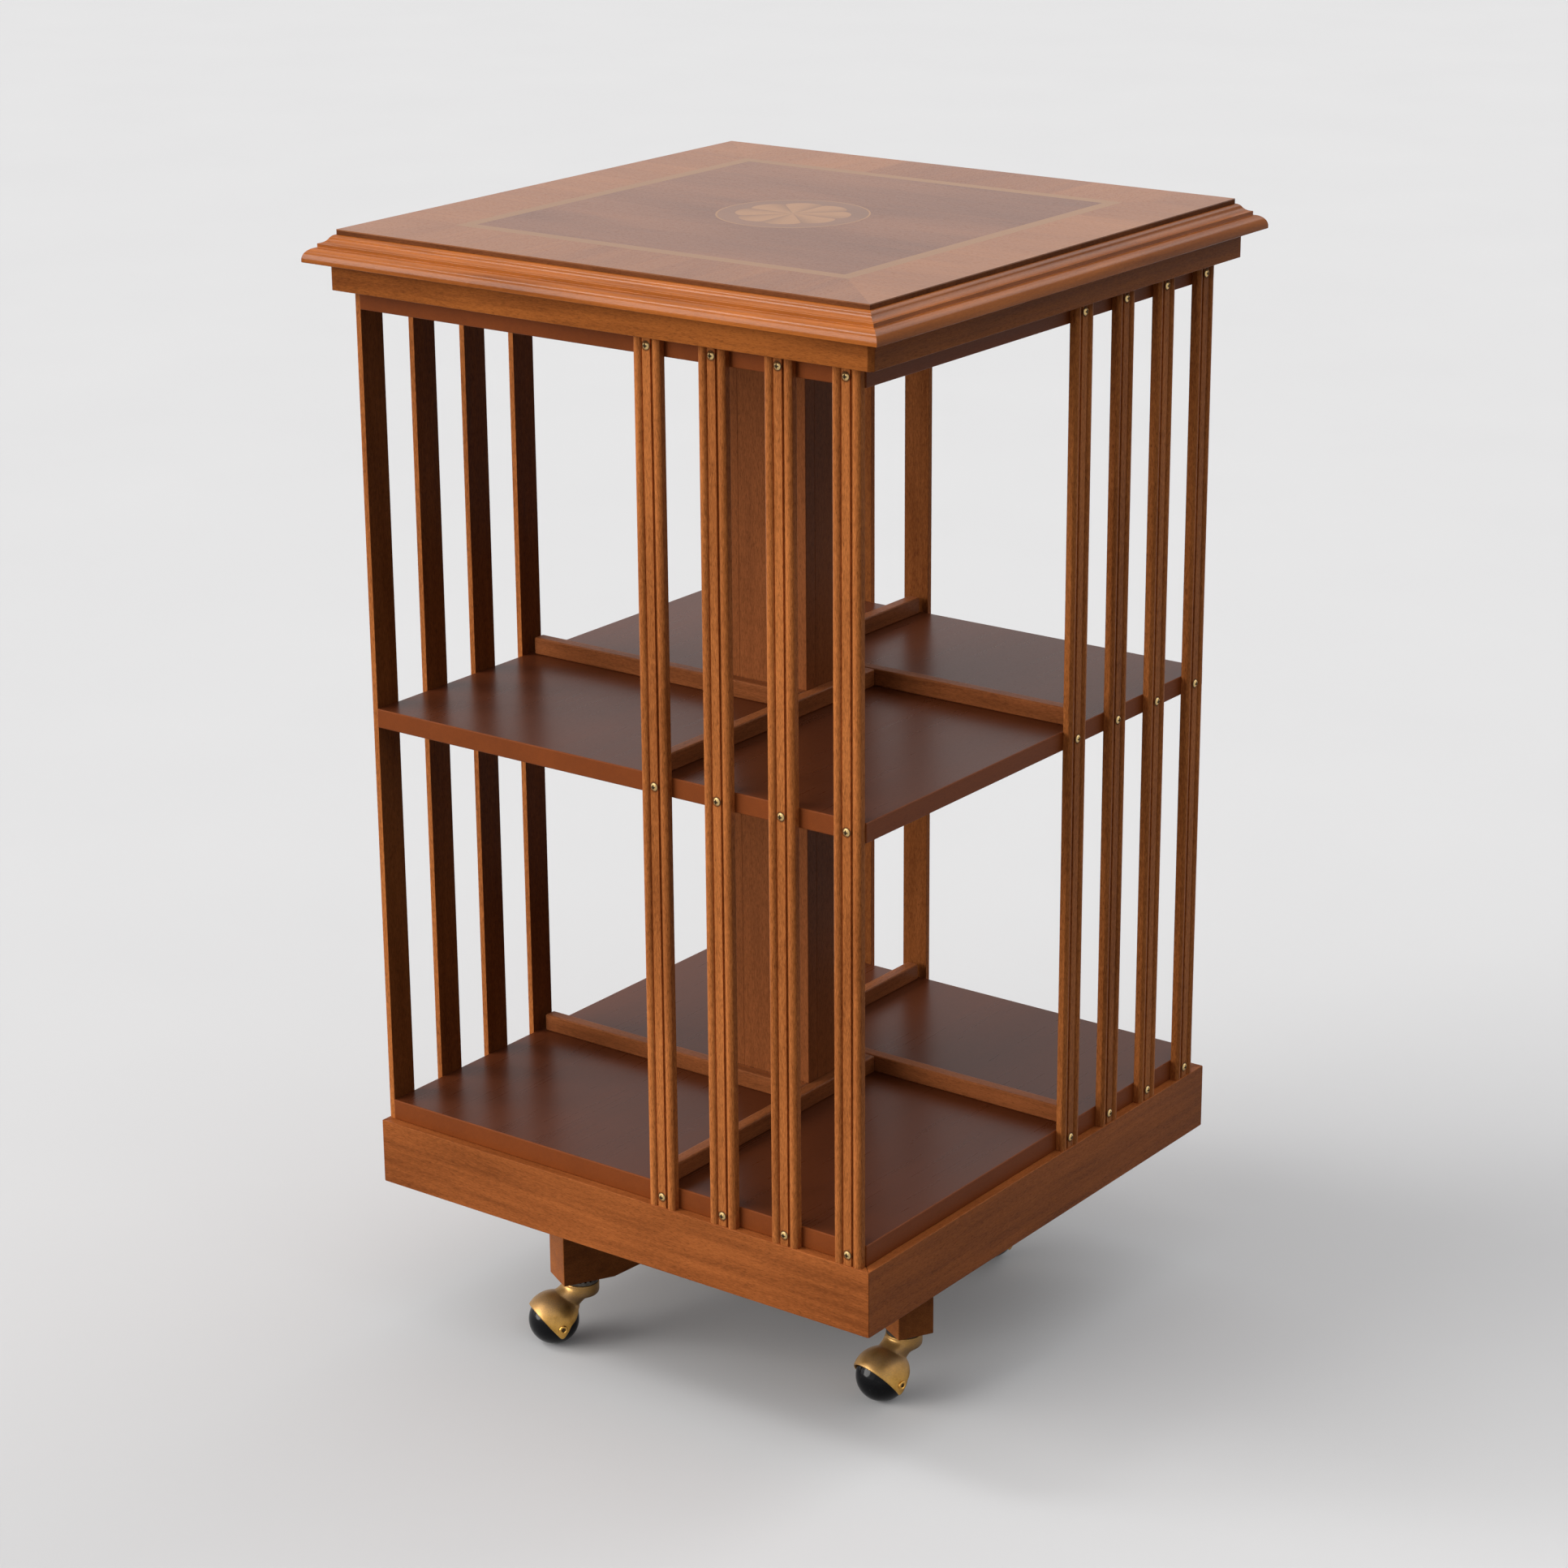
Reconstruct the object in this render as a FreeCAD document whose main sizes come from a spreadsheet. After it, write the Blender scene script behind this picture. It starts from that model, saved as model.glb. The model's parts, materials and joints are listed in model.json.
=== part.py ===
"""Revolving bookcase on four ball casters, as a parametric document.

A square mahogany case of two tiers turns on a cross base. Origin: floor level on the turning
axis. +Z up. The front face looks to -Y, the right-hand face to +X. Millimetres throughout.
"""
import FreeCAD, Part
import math
import os
import Sketcher
from FreeCAD import Placement, Rotation, Vector

doc = FreeCAD.newDocument("revolving_bookcase")

# ------------------------------------------------------------------ driving sizes
SIZES = {
    # upright stack, from the floor to the top face
    "foot_clearance": 50.0,
    "bar_depth": 101.0,
    "race_plate_thickness": 4.0,
    "race_gap": 4.0,
    "bottom_board_thickness": 15.5,
    "lower_bay_height": 287.5,
    "mid_shelf_thickness": 14.0,
    "upper_bay_height": 287.5,
    "sub_top_thickness": 14.5,
    "frieze_height": 19.5,
    "top_board_thickness": 21.2,
    "veneer_thickness": 0.8,
    "plinth_height": 49.0,
    # plan
    "shelf_width": 426.0,
    "plinth_set_out": 0.5,
    "plinth_rail_thickness": 18.0,
    "frieze_set_out": 8.5,
    "frieze_rail_thickness": 18.0,
    "frieze_corner_chamfer": 3.5,
    "shelf_edge_easing": 0.8,
    "top_width": 445.0,
    # inlaid top
    "crossband_width": 57.5,
    "stringing_width": 10.0,
    "medallion_radius": 54.0,
    # edge moulding, measured out from the top board's edge and down from its face
    "moulding_projection": 17.5,
    "moulding_step": 3.6,
    "moulding_fillet": 0.5,
    "ogee_crown_width": 3.3,
    "ogee_crown_drop": 2.5,
    "ogee_hollow_width": 5.2,
    "ogee_hollow_drop": 3.1,
    "ogee_sweep": 50.0,
    "moulding_quirk_depth": 2.8,
    "nose_sweep": 88.0,
    "nose_flat": 1.5,
    # slats
    "slat_width": 22.0,
    "slat_thickness": 6.0,
    "bead_width": 6.6,
    "bead_rise": 1.6,
    "bead_quirk_width": 1.1,
    "bead_quirk_depth": 0.4,
    "slat_flat_drop": 0.6,
    "corner_slat_inset": 12.0,
    "slat_pitch": 53.0,
    "right_slats_shift": -8.0,
    # slat screws
    "screw_shank_diameter": 3.4,
    "screw_bite": 20.0,
    "screw_head_diameter": 6.0,
    "screw_head_height": 1.5,
    "screw_slot_width": 0.8,
    "screw_slot_length": 3.6,
    "screw_slot_depth": 0.8,
    # hollow column and the book stops round it
    "column_width": 70.0,
    "column_board_thickness": 11.0,
    "stop_width": 10.0,
    "stop_height": 13.0,
    "stop_easing": 1.2,
    "stop_end_gap": 5.0,
    # cross base
    "bar_half_length": 197.0,
    "bar_width": 28.0,
    "foot_length": 40.0,
    "bar_middle_depth": 64.0,
    "bar_middle_flat": 50.0,
    "bar_azimuth": -28.8,
    # spindle, bush and thrust bearing
    "spindle_diameter": 16.0,
    "spindle_end_length": 3.0,
    "spindle_chamfer": 1.0,
    "board_spindle_clearance": 1.0,
    "bush_wall": 4.0,
    "bush_flange_width": 8.0,
    "bush_flange_thickness": 3.0,
    "bush_running_clearance": 0.05,
    "end_float": 0.3,
    "washer_width": 8.0,
    "washer_thickness": 2.0,
    "nut_across_corners": 28.0,
    "nut_height": 10.0,
    "nut_bore_clearance": 0.02,
    "race_inner_diameter": 40.0,
    "race_outer_diameter": 110.0,
    "bearing_pitch_radius": 40.0,
    "bearing_ball_diameter": 7.0,
    "bearing_ball_clearance": 0.05,
    "cage_width": 18.0,
    "cage_thickness": 2.0,
    # casters
    "caster_ball_diameter": 37.5,
    "caster_trail": 22.0,
    "socket_inset": 19.0,
    "socket_flange_radius": 13.0,
    "socket_flange_thickness": 3.5,
    "socket_tooth_gap_depth": 1.2,
    "socket_tooth_gap_width": 1.8,
    "socket_tooth_length": 6.0,
    "socket_sleeve_wall": 1.4,
    "socket_sleeve_depth": 36.0,
    "stem_diameter": 8.0,
    "stem_running_clearance": 0.05,
    "stem_end_gap": 3.0,
    "stem_chamfer": 2.0,
    "boss_radius": 13.4,
    "boss_height": 10.5,
    "boss_running_gap": 0.3,
    "boss_floor": 3.0,
    "hood_ball_gap": 1.4,
    "hood_wall": 1.25,
    "hood_tip_angle": 35.0,
    "hood_lobe_drop": 8.0,
    "hood_lobe_width": 3.0,
    "hood_lobe_sweep": 70.0,
    "hood_knee_back": 7.0,
    "hood_knee_rise": 1.2,
    "hood_knee_sweep": 25.0,
    "hood_rear_back": 16.0,
    "hood_rear_rise": 9.0,
    "hood_neck_angle": 124.0,
    "hood_neck_spread": 31.0,
    "hood_neck_reach": 7.5,
    "axle_diameter": 3.4,
    "axle_end": 0.5,
    "axle_running_clearance": 0.05,
    # which way each caster's ball trails, as a compass azimuth from +X
    "front_trail_azimuth": 258.0,
    "right_trail_azimuth": 266.0,
    "back_trail_azimuth": 247.0,
    "left_trail_azimuth": 238.7,
}

# the faces of the case and the ends of the cross, each a quarter turn on from the last
SIDES = ("front", "right", "back", "left")
SLATS_PER_SIDE = 4
BEARING_BALLS = 12
SOCKET_TEETH = 20

sizes = doc.addObject("Spreadsheet::Sheet", "sizes")
for row, (alias, value) in enumerate(SIZES.items(), 1):
    sizes.set(f"A{row}", alias)
    sizes.set(f"B{row}", str(value))
    sizes.setAlias(f"B{row}", alias)
doc.recompute()

# ------------------------------------------------------------------ places worked out from them
PLACES = {
    "bar_top": "sizes.foot_clearance + sizes.bar_depth",
    "bar_middle_under": "places.bar_top - sizes.bar_middle_depth",
    "halving_level": "places.bar_top - sizes.bar_middle_depth / 2",
    "lower_race_top": "places.bar_top + sizes.race_plate_thickness",
    "bearing_level": "places.lower_race_top + sizes.race_gap / 2",
    "upper_race_under": "places.lower_race_top + sizes.race_gap",
    "plinth_top": "places.upper_race_under + sizes.race_plate_thickness",
    "plinth_under": "places.plinth_top - sizes.plinth_height",
    "lower_floor": "places.plinth_top + sizes.bottom_board_thickness",
    "mid_shelf_under": "places.lower_floor + sizes.lower_bay_height",
    "upper_floor": "places.mid_shelf_under + sizes.mid_shelf_thickness",
    "sub_top_under": "places.upper_floor + sizes.upper_bay_height",
    "sub_top_face": "places.sub_top_under + sizes.sub_top_thickness",
    "top_under": "places.sub_top_face + sizes.frieze_height",
    "veneer_under": "places.top_under + sizes.top_board_thickness",
    "top_face": "places.veneer_under + sizes.veneer_thickness",
    "shelf_half": "sizes.shelf_width / 2",
    "slat_face": "places.shelf_half + sizes.slat_thickness",
    "plinth_half": "places.slat_face + sizes.plinth_set_out",
    "frieze_half": "places.slat_face + sizes.frieze_set_out",
    "top_half": "sizes.top_width / 2",
    "stringing_half": "places.top_half - sizes.crossband_width",
    "field_half": "places.stringing_half - sizes.stringing_width",
    "moulding_half": "places.top_half + sizes.moulding_projection",
    "moulding_top": "places.top_face - sizes.moulding_step",
    "column_half": "sizes.column_width / 2",
    "spindle_radius": "sizes.spindle_diameter / 2",
    "bush_radius": "places.spindle_radius + sizes.bush_running_clearance + sizes.bush_wall",
    "bush_flange_radius": "places.bush_radius + sizes.bush_flange_width",
    "upper_washer_under": "places.upper_floor + sizes.bush_flange_thickness + sizes.end_float",
    "nut_bore": "places.spindle_radius + sizes.nut_bore_clearance",
    "bearing_groove": "sizes.bearing_ball_diameter / 2 + sizes.bearing_ball_clearance",
    "groove_half": "sqrt(places.bearing_groove ^ 2 - (sizes.race_gap / 2) ^ 2)",
    "groove_sweep": "2 * acos(sizes.race_gap / 2 / places.bearing_groove) / 1deg",
    "stem_place": "sizes.bar_half_length - sizes.socket_inset",
    "stem_radius": "sizes.stem_diameter / 2",
    "socket_bore": "places.stem_radius + sizes.stem_running_clearance",
    "socket_radius": "places.socket_bore + sizes.socket_sleeve_wall",
    "socket_under": "sizes.foot_clearance - sizes.socket_flange_thickness",
    "socket_top": "sizes.foot_clearance + sizes.socket_sleeve_depth",
    "boss_top": "places.socket_under - sizes.boss_running_gap",
    "boss_under": "places.boss_top - sizes.boss_height",
    "ball_radius": "sizes.caster_ball_diameter / 2",
    "hood_inside": "places.ball_radius + sizes.hood_ball_gap",
    "hood_outside": "places.hood_inside + sizes.hood_wall",
    "hood_midwall": "places.hood_inside + sizes.hood_wall / 2",
}
places = doc.addObject("App::VarSet", "places")
for name, expression in PLACES.items():
    places.addProperty("App::PropertyFloat", name)
    places.setExpression(name, expression)
doc.recompute()


def worth(expression):
    """The number that an expression on the sheet comes to."""
    value = sizes.evalExpression(expression)
    return float(getattr(value, "Value", value))


def bind(thing, **expressions):
    """Bind an object's properties to expressions."""
    for name, expression in expressions.items():
        thing.setExpression(name, expression)
    return thing


def place(thing, x="0", y="0", z="0", turn="0"):
    """Bind an object's place, and its turn about the upright axis in degrees."""
    thing.setExpression("Placement.Base.x", x)
    thing.setExpression("Placement.Base.y", y)
    thing.setExpression("Placement.Base.z", z)
    thing.setExpression("Placement.Rotation.Angle", f"({turn}) * 1 deg")
    return thing


# ------------------------------------------------------------------ sketches and features
def new_body(name):
    body = doc.addObject("PartDesign::Body", name)
    body.Label = name
    return body


def new_sketch(body, role, level="0"):
    """A sketch on one of the body's own origin planes, moved along the plane's normal."""
    sketch = body.newObject("Sketcher::SketchObject", "sketch")
    plane = [feature for feature in body.Origin.OriginFeatures if feature.Role == role][0]
    sketch.AttachmentSupport = [(plane, "")]
    sketch.MapMode = "FlatFace"
    sketch.setExpression("AttachmentOffset.Base.z", level)
    return sketch


def pin(sketch, geometry, point, x, y):
    """Hold one point of the sketch at x, y from the sketch's origin."""
    for kind, expression in (("DistanceX", x), ("DistanceY", y)):
        held = Sketcher.Constraint(kind, -1, 1, geometry, point, worth(expression))
        index = sketch.addConstraint(held)
        sketch.setExpression(f"Constraints[{index}]", expression)


def arc_between(start, end, sweep):
    """A counter-clockwise arc through start and end that turns by sweep degrees."""
    chord = end - start
    radius = chord.Length / 2 / math.sin(math.radians(sweep) / 2)
    middle = (start + end) / 2
    across = Vector(-chord.y, chord.x, 0).normalize()
    centre = middle + across * radius * math.cos(math.radians(sweep) / 2)
    first = math.atan2(start.y - centre.y, start.x - centre.x)
    circle = Part.Circle(centre, Vector(0, 0, 1), radius)
    return Part.ArcOfCircle(circle, first, first + math.radians(sweep))


def outline(sketch, points):
    """Close an outline through points (x, y) or (x, y, sweep).

    A sweep bends the stretch to the next point into an arc: positive is counter-clockwise.
    """
    corners = [Vector(worth(point[0]), worth(point[1]), 0) for point in points]
    stretches = []
    for index, point in enumerate(points):
        start = corners[index]
        end = corners[(index + 1) % len(corners)]
        if len(point) == 2:
            geometry = sketch.addGeometry(Part.LineSegment(start, end))
            stretches.append((geometry, 1, 2))
            continue
        sweep = worth(point[2])
        if sweep > 0:
            geometry = sketch.addGeometry(arc_between(start, end, sweep))
            stretches.append((geometry, 1, 2))
        else:
            geometry = sketch.addGeometry(arc_between(end, start, -sweep))
            stretches.append((geometry, 2, 1))
        angle = sketch.addConstraint(Sketcher.Constraint("Angle", geometry, math.radians(abs(sweep))))
        sketch.setExpression(f"Constraints[{angle}]", f"abs({point[2]}) * 1 deg")
    for index, (geometry, start, end) in enumerate(stretches):
        following, following_start, _ = stretches[(index + 1) % len(stretches)]
        sketch.addConstraint(
            Sketcher.Constraint("Coincident", geometry, end, following, following_start))
        pin(sketch, geometry, start, points[index][0], points[index][1])
    return sketch


def rectangle(sketch, x0, y0, x1, y1):
    return outline(sketch, [(x0, y0), (x1, y0), (x1, y1), (x0, y1)])


def ring(sketch, x, y, radius):
    """A circle of the sketch."""
    centre = Vector(worth(x), worth(y), 0)
    circle = Part.Circle(centre, Vector(0, 0, 1), worth(radius))
    geometry = sketch.addGeometry(circle)
    size = sketch.addConstraint(Sketcher.Constraint("Radius", geometry, worth(radius)))
    sketch.setExpression(f"Constraints[{size}]", radius)
    pin(sketch, geometry, 3, x, y)
    return sketch


def pad(body, sketch, length, midplane=False):
    feature = body.newObject("PartDesign::Pad", "pad")
    feature.Profile = sketch
    feature.Midplane = midplane
    return bind(feature, Length=length)


def pocket(body, sketch, depth, midplane=False):
    """Cut a sketch away against its normal, or both ways, and see that it cut something."""
    doc.recompute()
    before = body.Shape.Volume
    feature = body.newObject("PartDesign::Pocket", "pocket")
    feature.Profile = sketch
    feature.Midplane = midplane
    bind(feature, Length=depth)
    doc.recompute()
    if body.Shape.Volume >= before:
        raise RuntimeError(f"{body.Label}: a pocket cuts nothing")
    return feature


def turned(name, points):
    """A body turned about the upright axis from its half section (radius, level)."""
    body = new_body(name)
    sketch = outline(new_sketch(body, "XZ_Plane"), points)
    revolution = body.newObject("PartDesign::Revolution", "revolution")
    revolution.Profile = sketch
    revolution.ReferenceAxis = (sketch, ["V_Axis"])
    revolution.Angle = 360
    return body


def primitive(kind, name, **expressions):
    return bind(doc.addObject(f"Part::{kind}", name), **expressions)


def cut(name, base, *tools):
    """base less each tool, as a chain of cuts. The last one bears the name."""
    for step, tool in enumerate(tools, 1):
        label = name if step == len(tools) else f"{name}_step_{step}"
        feature = doc.addObject("Part::Cut", label)
        feature.Base = base
        feature.Tool = tool
        base = feature
    return base


def fuse(name, *pieces):
    feature = doc.addObject("Part::MultiFuse", name)
    feature.Shapes = list(pieces)
    return feature


def group(name, pieces):
    """Like pieces that share one node, each its own solid."""
    compound = doc.addObject("Part::Compound", name)
    compound.Label = name
    compound.Links = list(pieces)
    return compound


nodes = []


def keep(*pieces):
    """Put finished sub-parts on the list that is checked and written."""
    nodes.extend(pieces)


# ------------------------------------------------------------------ inlaid top
def square_board(name, half, bottom, thickness):
    body = new_body(name)
    sketch = rectangle(new_sketch(body, "XY_Plane", bottom), f"-{half}", f"-{half}", half, half)
    pad(body, sketch, thickness)
    return body


def mitred_rail(name, side, outer, inner, bottom, height, chamfer=None):
    """One of four rails round a square, mitred at both ends. chamfer takes the corner off."""
    body = new_body(name)
    if chamfer:
        end = [(f"{outer} - {chamfer}", f"-{outer}"),
               (f"{outer} - {chamfer} / 2", f"-({outer} - {chamfer} / 2)")]
    else:
        end = [(outer, f"-{outer}")]
    end.append((inner, f"-{inner}"))
    mirrored = [(f"-({x})", y) for x, y in reversed(end)]
    sketch = outline(new_sketch(body, "XY_Plane", bottom), mirrored + end)
    pad(body, sketch, height)
    return place(body, turn=str(90 * side))


def four_rails(name, *section, chamfer=None):
    return [mitred_rail(f"{name}_{SIDES[side]}", side, *section, chamfer=chamfer)
            for side in range(4)]


top_panel = square_board("top_panel", "places.top_half", "places.top_under",
                         "sizes.top_board_thickness")
crossbanding = group("crossbanding", four_rails(
    "crossband", "places.top_half", "places.stringing_half", "places.veneer_under",
    "sizes.veneer_thickness"))
stringing = group("stringing", four_rails(
    "string", "places.stringing_half", "places.field_half", "places.veneer_under",
    "sizes.veneer_thickness"))
field_veneer = square_board("field_veneer", "places.field_half", "places.veneer_under",
                            "sizes.veneer_thickness")
pocket(field_veneer, ring(new_sketch(field_veneer, "XY_Plane", "places.top_face"), "0", "0",
                          "sizes.medallion_radius"), "sizes.veneer_thickness")
medallion = place(primitive("Cylinder", "fan_medallion", Radius="sizes.medallion_radius",
                            Height="sizes.veneer_thickness"), z="places.veneer_under")
keep(top_panel, crossbanding, stringing, field_veneer, medallion)


# ------------------------------------------------------------------ edge moulding
def edge_moulding(side):
    """An ogee over a bullnose, mitred at both ends, with a step down from the top board's face."""
    body = new_body(f"edge_moulding_{SIDES[side]}")
    crown_out = "(sizes.moulding_fillet + sizes.ogee_crown_width)"
    hollow_out = f"({crown_out} + sizes.ogee_hollow_width)"
    lip_out = f"({hollow_out} + sizes.moulding_fillet)"
    hollow_down = "(sizes.ogee_crown_drop + sizes.ogee_hollow_drop)"
    quirk_down = f"({hollow_down} + sizes.moulding_quirk_depth)"
    foot_down = "(places.moulding_top - places.top_under)"
    # distance out from the top board's edge, level from the moulding's top, sweep of an arc
    section = [
        ("0", "0"),
        ("sizes.moulding_fillet", "0", "sizes.ogee_sweep"),
        (crown_out, "-sizes.ogee_crown_drop", "-sizes.ogee_sweep"),
        (hollow_out, f"-{hollow_down}"),
        (lip_out, f"-{hollow_down}"),
        (lip_out, f"-{quirk_down}", "sizes.nose_sweep"),
        ("sizes.moulding_projection", f"-({foot_down} - sizes.nose_flat)"),
        ("sizes.moulding_projection", f"-{foot_down}"),
        ("0", f"-{foot_down}"),
    ]
    points = []
    for out, level, *sweep in section:
        points.append((f"-(places.top_half + {out})", f"places.moulding_top + {level}", *sweep))
    sketch = outline(new_sketch(body, "YZ_Plane"), points)
    pad(body, sketch, "2 * places.moulding_half", midplane=True)
    inside = "places.top_half / 2"
    outside = "2 * places.moulding_half"
    for hand in ("", "-"):
        mitre = [(f"{hand}{inside}", f"-{inside}"), (f"{hand}{outside}", f"-{outside}"),
                 (f"{hand}{outside}", f"-{inside}")]
        waste = outline(new_sketch(body, "XY_Plane", "places.top_under"), mitre)
        pocket(body, waste, f"2 * {foot_down}", midplane=True)
    return place(body, turn=str(90 * side))


keep(*[edge_moulding(side) for side in range(4)])

# ------------------------------------------------------------------ frieze and plinth frames
frieze_rails = group("frieze_rails", four_rails(
    "frieze_rail", "places.frieze_half", "(places.frieze_half - sizes.frieze_rail_thickness)",
    "places.sub_top_face", "sizes.frieze_height", chamfer="sizes.frieze_corner_chamfer"))
plinth_rails = four_rails(
    "plinth_rail", "places.plinth_half", "(places.plinth_half - sizes.plinth_rail_thickness)",
    "places.plinth_under", "sizes.plinth_height")
keep(frieze_rails, *plinth_rails)


# ------------------------------------------------------------------ boards and slats
def slat_centre(side, number):
    """How far a slat stands from the middle of its face, towards the right-hand corner."""
    shift = " + sizes.right_slats_shift" if SIDES[side] == "right" else ""
    return (f"(places.shelf_half - sizes.corner_slat_inset"
            f" - {SLATS_PER_SIDE - 1 - number} * sizes.slat_pitch{shift})")


def edge_holes(body, level):
    """Bore the pilot holes of the slats' screws into the four edges of a board."""
    for side in range(4):
        turn = 90 * side
        sketch = new_sketch(body, "XZ_Plane", f"cos({turn} deg) * places.shelf_half")
        sketch.AttachmentOffset = Placement(Vector(), Rotation(Vector(0, 1, 0), turn))
        bind(sketch, **{"AttachmentOffset.Base.x": f"sin({turn} deg) * places.shelf_half"})
        for number in range(SLATS_PER_SIDE):
            ring(sketch, slat_centre(side, number), level, "sizes.screw_shank_diameter / 2")
        pocket(body, sketch, "sizes.screw_bite")


def bored_board(name, bottom, thickness, bore=None):
    body = square_board(name, "places.shelf_half", bottom, thickness)
    doc.recompute()
    easing = body.newObject("PartDesign::Chamfer", "easing")
    pad_feature = body.Group[-2]
    easing.Base = (pad_feature, level_edges(pad_feature, f"{bottom} + {thickness}"))
    bind(easing, Size="sizes.shelf_edge_easing")
    edge_holes(body, f"{bottom} + {thickness} / 2")
    if bore:
        sketch = ring(new_sketch(body, "XY_Plane", f"{bottom} + {thickness}"), "0", "0", bore)
        pocket(body, sketch, thickness)
    return body


def level_edges(feature, level):
    """Names of the edges that lie flat at one level."""
    height = worth(level)
    names = []
    for index, edge in enumerate(feature.Shape.Edges, 1):
        box = edge.BoundBox
        if abs(box.ZMin - height) < 1e-6 and abs(box.ZMax - height) < 1e-6:
            names.append(f"Edge{index}")
    return names


sub_top = bored_board("sub_top", "places.sub_top_under", "sizes.sub_top_thickness")
mid_shelf = bored_board("mid_shelf", "places.mid_shelf_under", "sizes.mid_shelf_thickness",
                        bore="places.bush_radius")
bottom_board = bored_board("bottom_board", "places.plinth_top", "sizes.bottom_board_thickness",
                           bore="places.spindle_radius + sizes.board_spindle_clearance")
SCREW_LEVELS = (
    "places.plinth_top + sizes.bottom_board_thickness / 2",
    "places.mid_shelf_under + sizes.mid_shelf_thickness / 2",
    "places.sub_top_under + sizes.sub_top_thickness / 2",
)


def slat(side, number):
    """A moulded slat: two beads with quirks beside a flat, its back against the boards."""
    body = new_body(f"{SIDES[side]}_slat_{number + 1}")
    edge = "sizes.slat_width / 2"
    bead_in = f"({edge} - sizes.bead_width)"
    flat_edge = f"({bead_in} - sizes.bead_quirk_width)"
    shoulder = "(sizes.slat_thickness - sizes.bead_rise)"
    half = [
        (flat_edge, "sizes.slat_thickness - sizes.slat_flat_drop"),
        (flat_edge, f"{shoulder} - sizes.bead_quirk_depth"),
        (bead_in, f"{shoulder} - sizes.bead_quirk_depth"),
        (bead_in, shoulder),
        (edge, shoulder),
        (edge, "0"),
    ]
    right = [(x, f"-({y})") for x, y in half]
    left = [(f"-({x})", f"-({y})") for x, y in reversed(half)]
    bead_sweep = "4 * atan(sizes.bead_rise / (sizes.bead_width / 2)) / 1deg"
    right[3] = (*right[3], bead_sweep)
    left[1] = (*left[1], bead_sweep)
    sketch = outline(new_sketch(body, "XY_Plane", "places.plinth_top"), left + right)
    pad(body, sketch, "places.sub_top_face - places.plinth_top")
    holes = new_sketch(body, "XZ_Plane", "sizes.slat_thickness")
    for level in SCREW_LEVELS:
        ring(holes, "0", level, "sizes.screw_shank_diameter / 2")
    pocket(body, holes, "sizes.slat_thickness")
    along = slat_centre(side, number)
    turn = f"{90 * side} deg"
    return place(body, x=f"cos({turn}) * {along} + sin({turn}) * places.shelf_half",
                 y=f"sin({turn}) * {along} - cos({turn}) * places.shelf_half",
                 turn=str(90 * side))


slats = [slat(side, number) for side in range(4) for number in range(SLATS_PER_SIDE)]
keep(sub_top, mid_shelf, bottom_board, *slats)


# ------------------------------------------------------------------ slat screws
def screw():
    """A round-head screw with a crossed recess, its head's seat at the origin, pointing to +Y."""
    body = new_body("screw")
    head = "sizes.screw_head_diameter / 2"
    shank = "sizes.screw_shank_diameter / 2"
    dome_sweep = f"2 * atan(sizes.screw_head_height / ({head})) / 1deg"
    tip = "-(sizes.slat_thickness - sizes.slat_flat_drop + sizes.screw_bite)"
    sketch = outline(new_sketch(body, "XZ_Plane"), [
        ("0", tip), (shank, f"{tip} + {shank}"), (shank, "0"), (head, "0", dome_sweep),
        ("0", "sizes.screw_head_height")])
    revolution = body.newObject("PartDesign::Revolution", "revolution")
    revolution.Profile = sketch
    revolution.ReferenceAxis = (sketch, ["V_Axis"])
    revolution.Angle = 360
    for long_side, short_side in (("length", "width"), ("width", "length")):
        x = f"sizes.screw_slot_{long_side} / 2"
        y = f"sizes.screw_slot_{short_side} / 2"
        slot = rectangle(new_sketch(body, "XY_Plane", "sizes.screw_head_height"),
                         f"-{x}", f"-{y}", x, y)
        pocket(body, slot, "sizes.screw_slot_depth")
    return body


screw_body = screw()
doc.recompute()
seat_out = worth("places.slat_face - sizes.slat_flat_drop")
screws = []
for side in range(4):
    about_axis = Rotation(Vector(0, 0, 1), 90 * side)
    for number in range(SLATS_PER_SIDE):
        for level in SCREW_LEVELS:
            seat = Vector(worth(slat_centre(side, number)), -seat_out, worth(level))
            copy = screw_body.Shape.copy()
            copy.Placement = Placement(about_axis.multVec(seat),
                                       about_axis * Rotation(Vector(1, 0, 0), 90))
            screws.append(copy)
slat_screws = doc.addObject("Part::Feature", "slat_screws")
slat_screws.Label = "slat_screws"
slat_screws.Shape = Part.Compound(screws)
keep(slat_screws)


# ------------------------------------------------------------------ column and book stops
def column_boards(tier, bottom, height):
    """Four boards lapped one past the next, forming a hollow square post."""
    boards = []
    for side in range(4):
        board = new_body(f"{tier}_column_board_{SIDES[side]}")
        sketch = rectangle(new_sketch(board, "XY_Plane", bottom),
                           "-(places.column_half - sizes.column_board_thickness)",
                           "-places.column_half", "places.column_half",
                           "-(places.column_half - sizes.column_board_thickness)")
        pad(board, sketch, height)
        boards.append(place(board, turn=str(90 * side)))
    return group(f"{tier}_column", boards)


def book_stops(tier, floor):
    """Four strips that run past the column's faces to the board's edge, each butting the next."""
    stops = []
    for side in range(4):
        stop = new_body(f"{tier}_book_stop_{SIDES[side]}")
        near = "-places.column_half"
        far = "-(places.column_half + sizes.stop_width)"
        crest = f"{floor} + sizes.stop_height"
        brow = f"{crest} - sizes.stop_easing"
        sketch = outline(new_sketch(stop, "YZ_Plane", "-(places.shelf_half - sizes.stop_end_gap)"), [
            (near, floor), (near, brow), (f"{near} - sizes.stop_easing", crest),
            (f"{far} + sizes.stop_easing", crest), (far, brow), (far, floor)])
        pad(stop, sketch, "places.shelf_half - sizes.stop_end_gap + places.column_half")
        stops.append(place(stop, turn=str(90 * side)))
    return group(f"{tier}_book_stops", stops)


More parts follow.
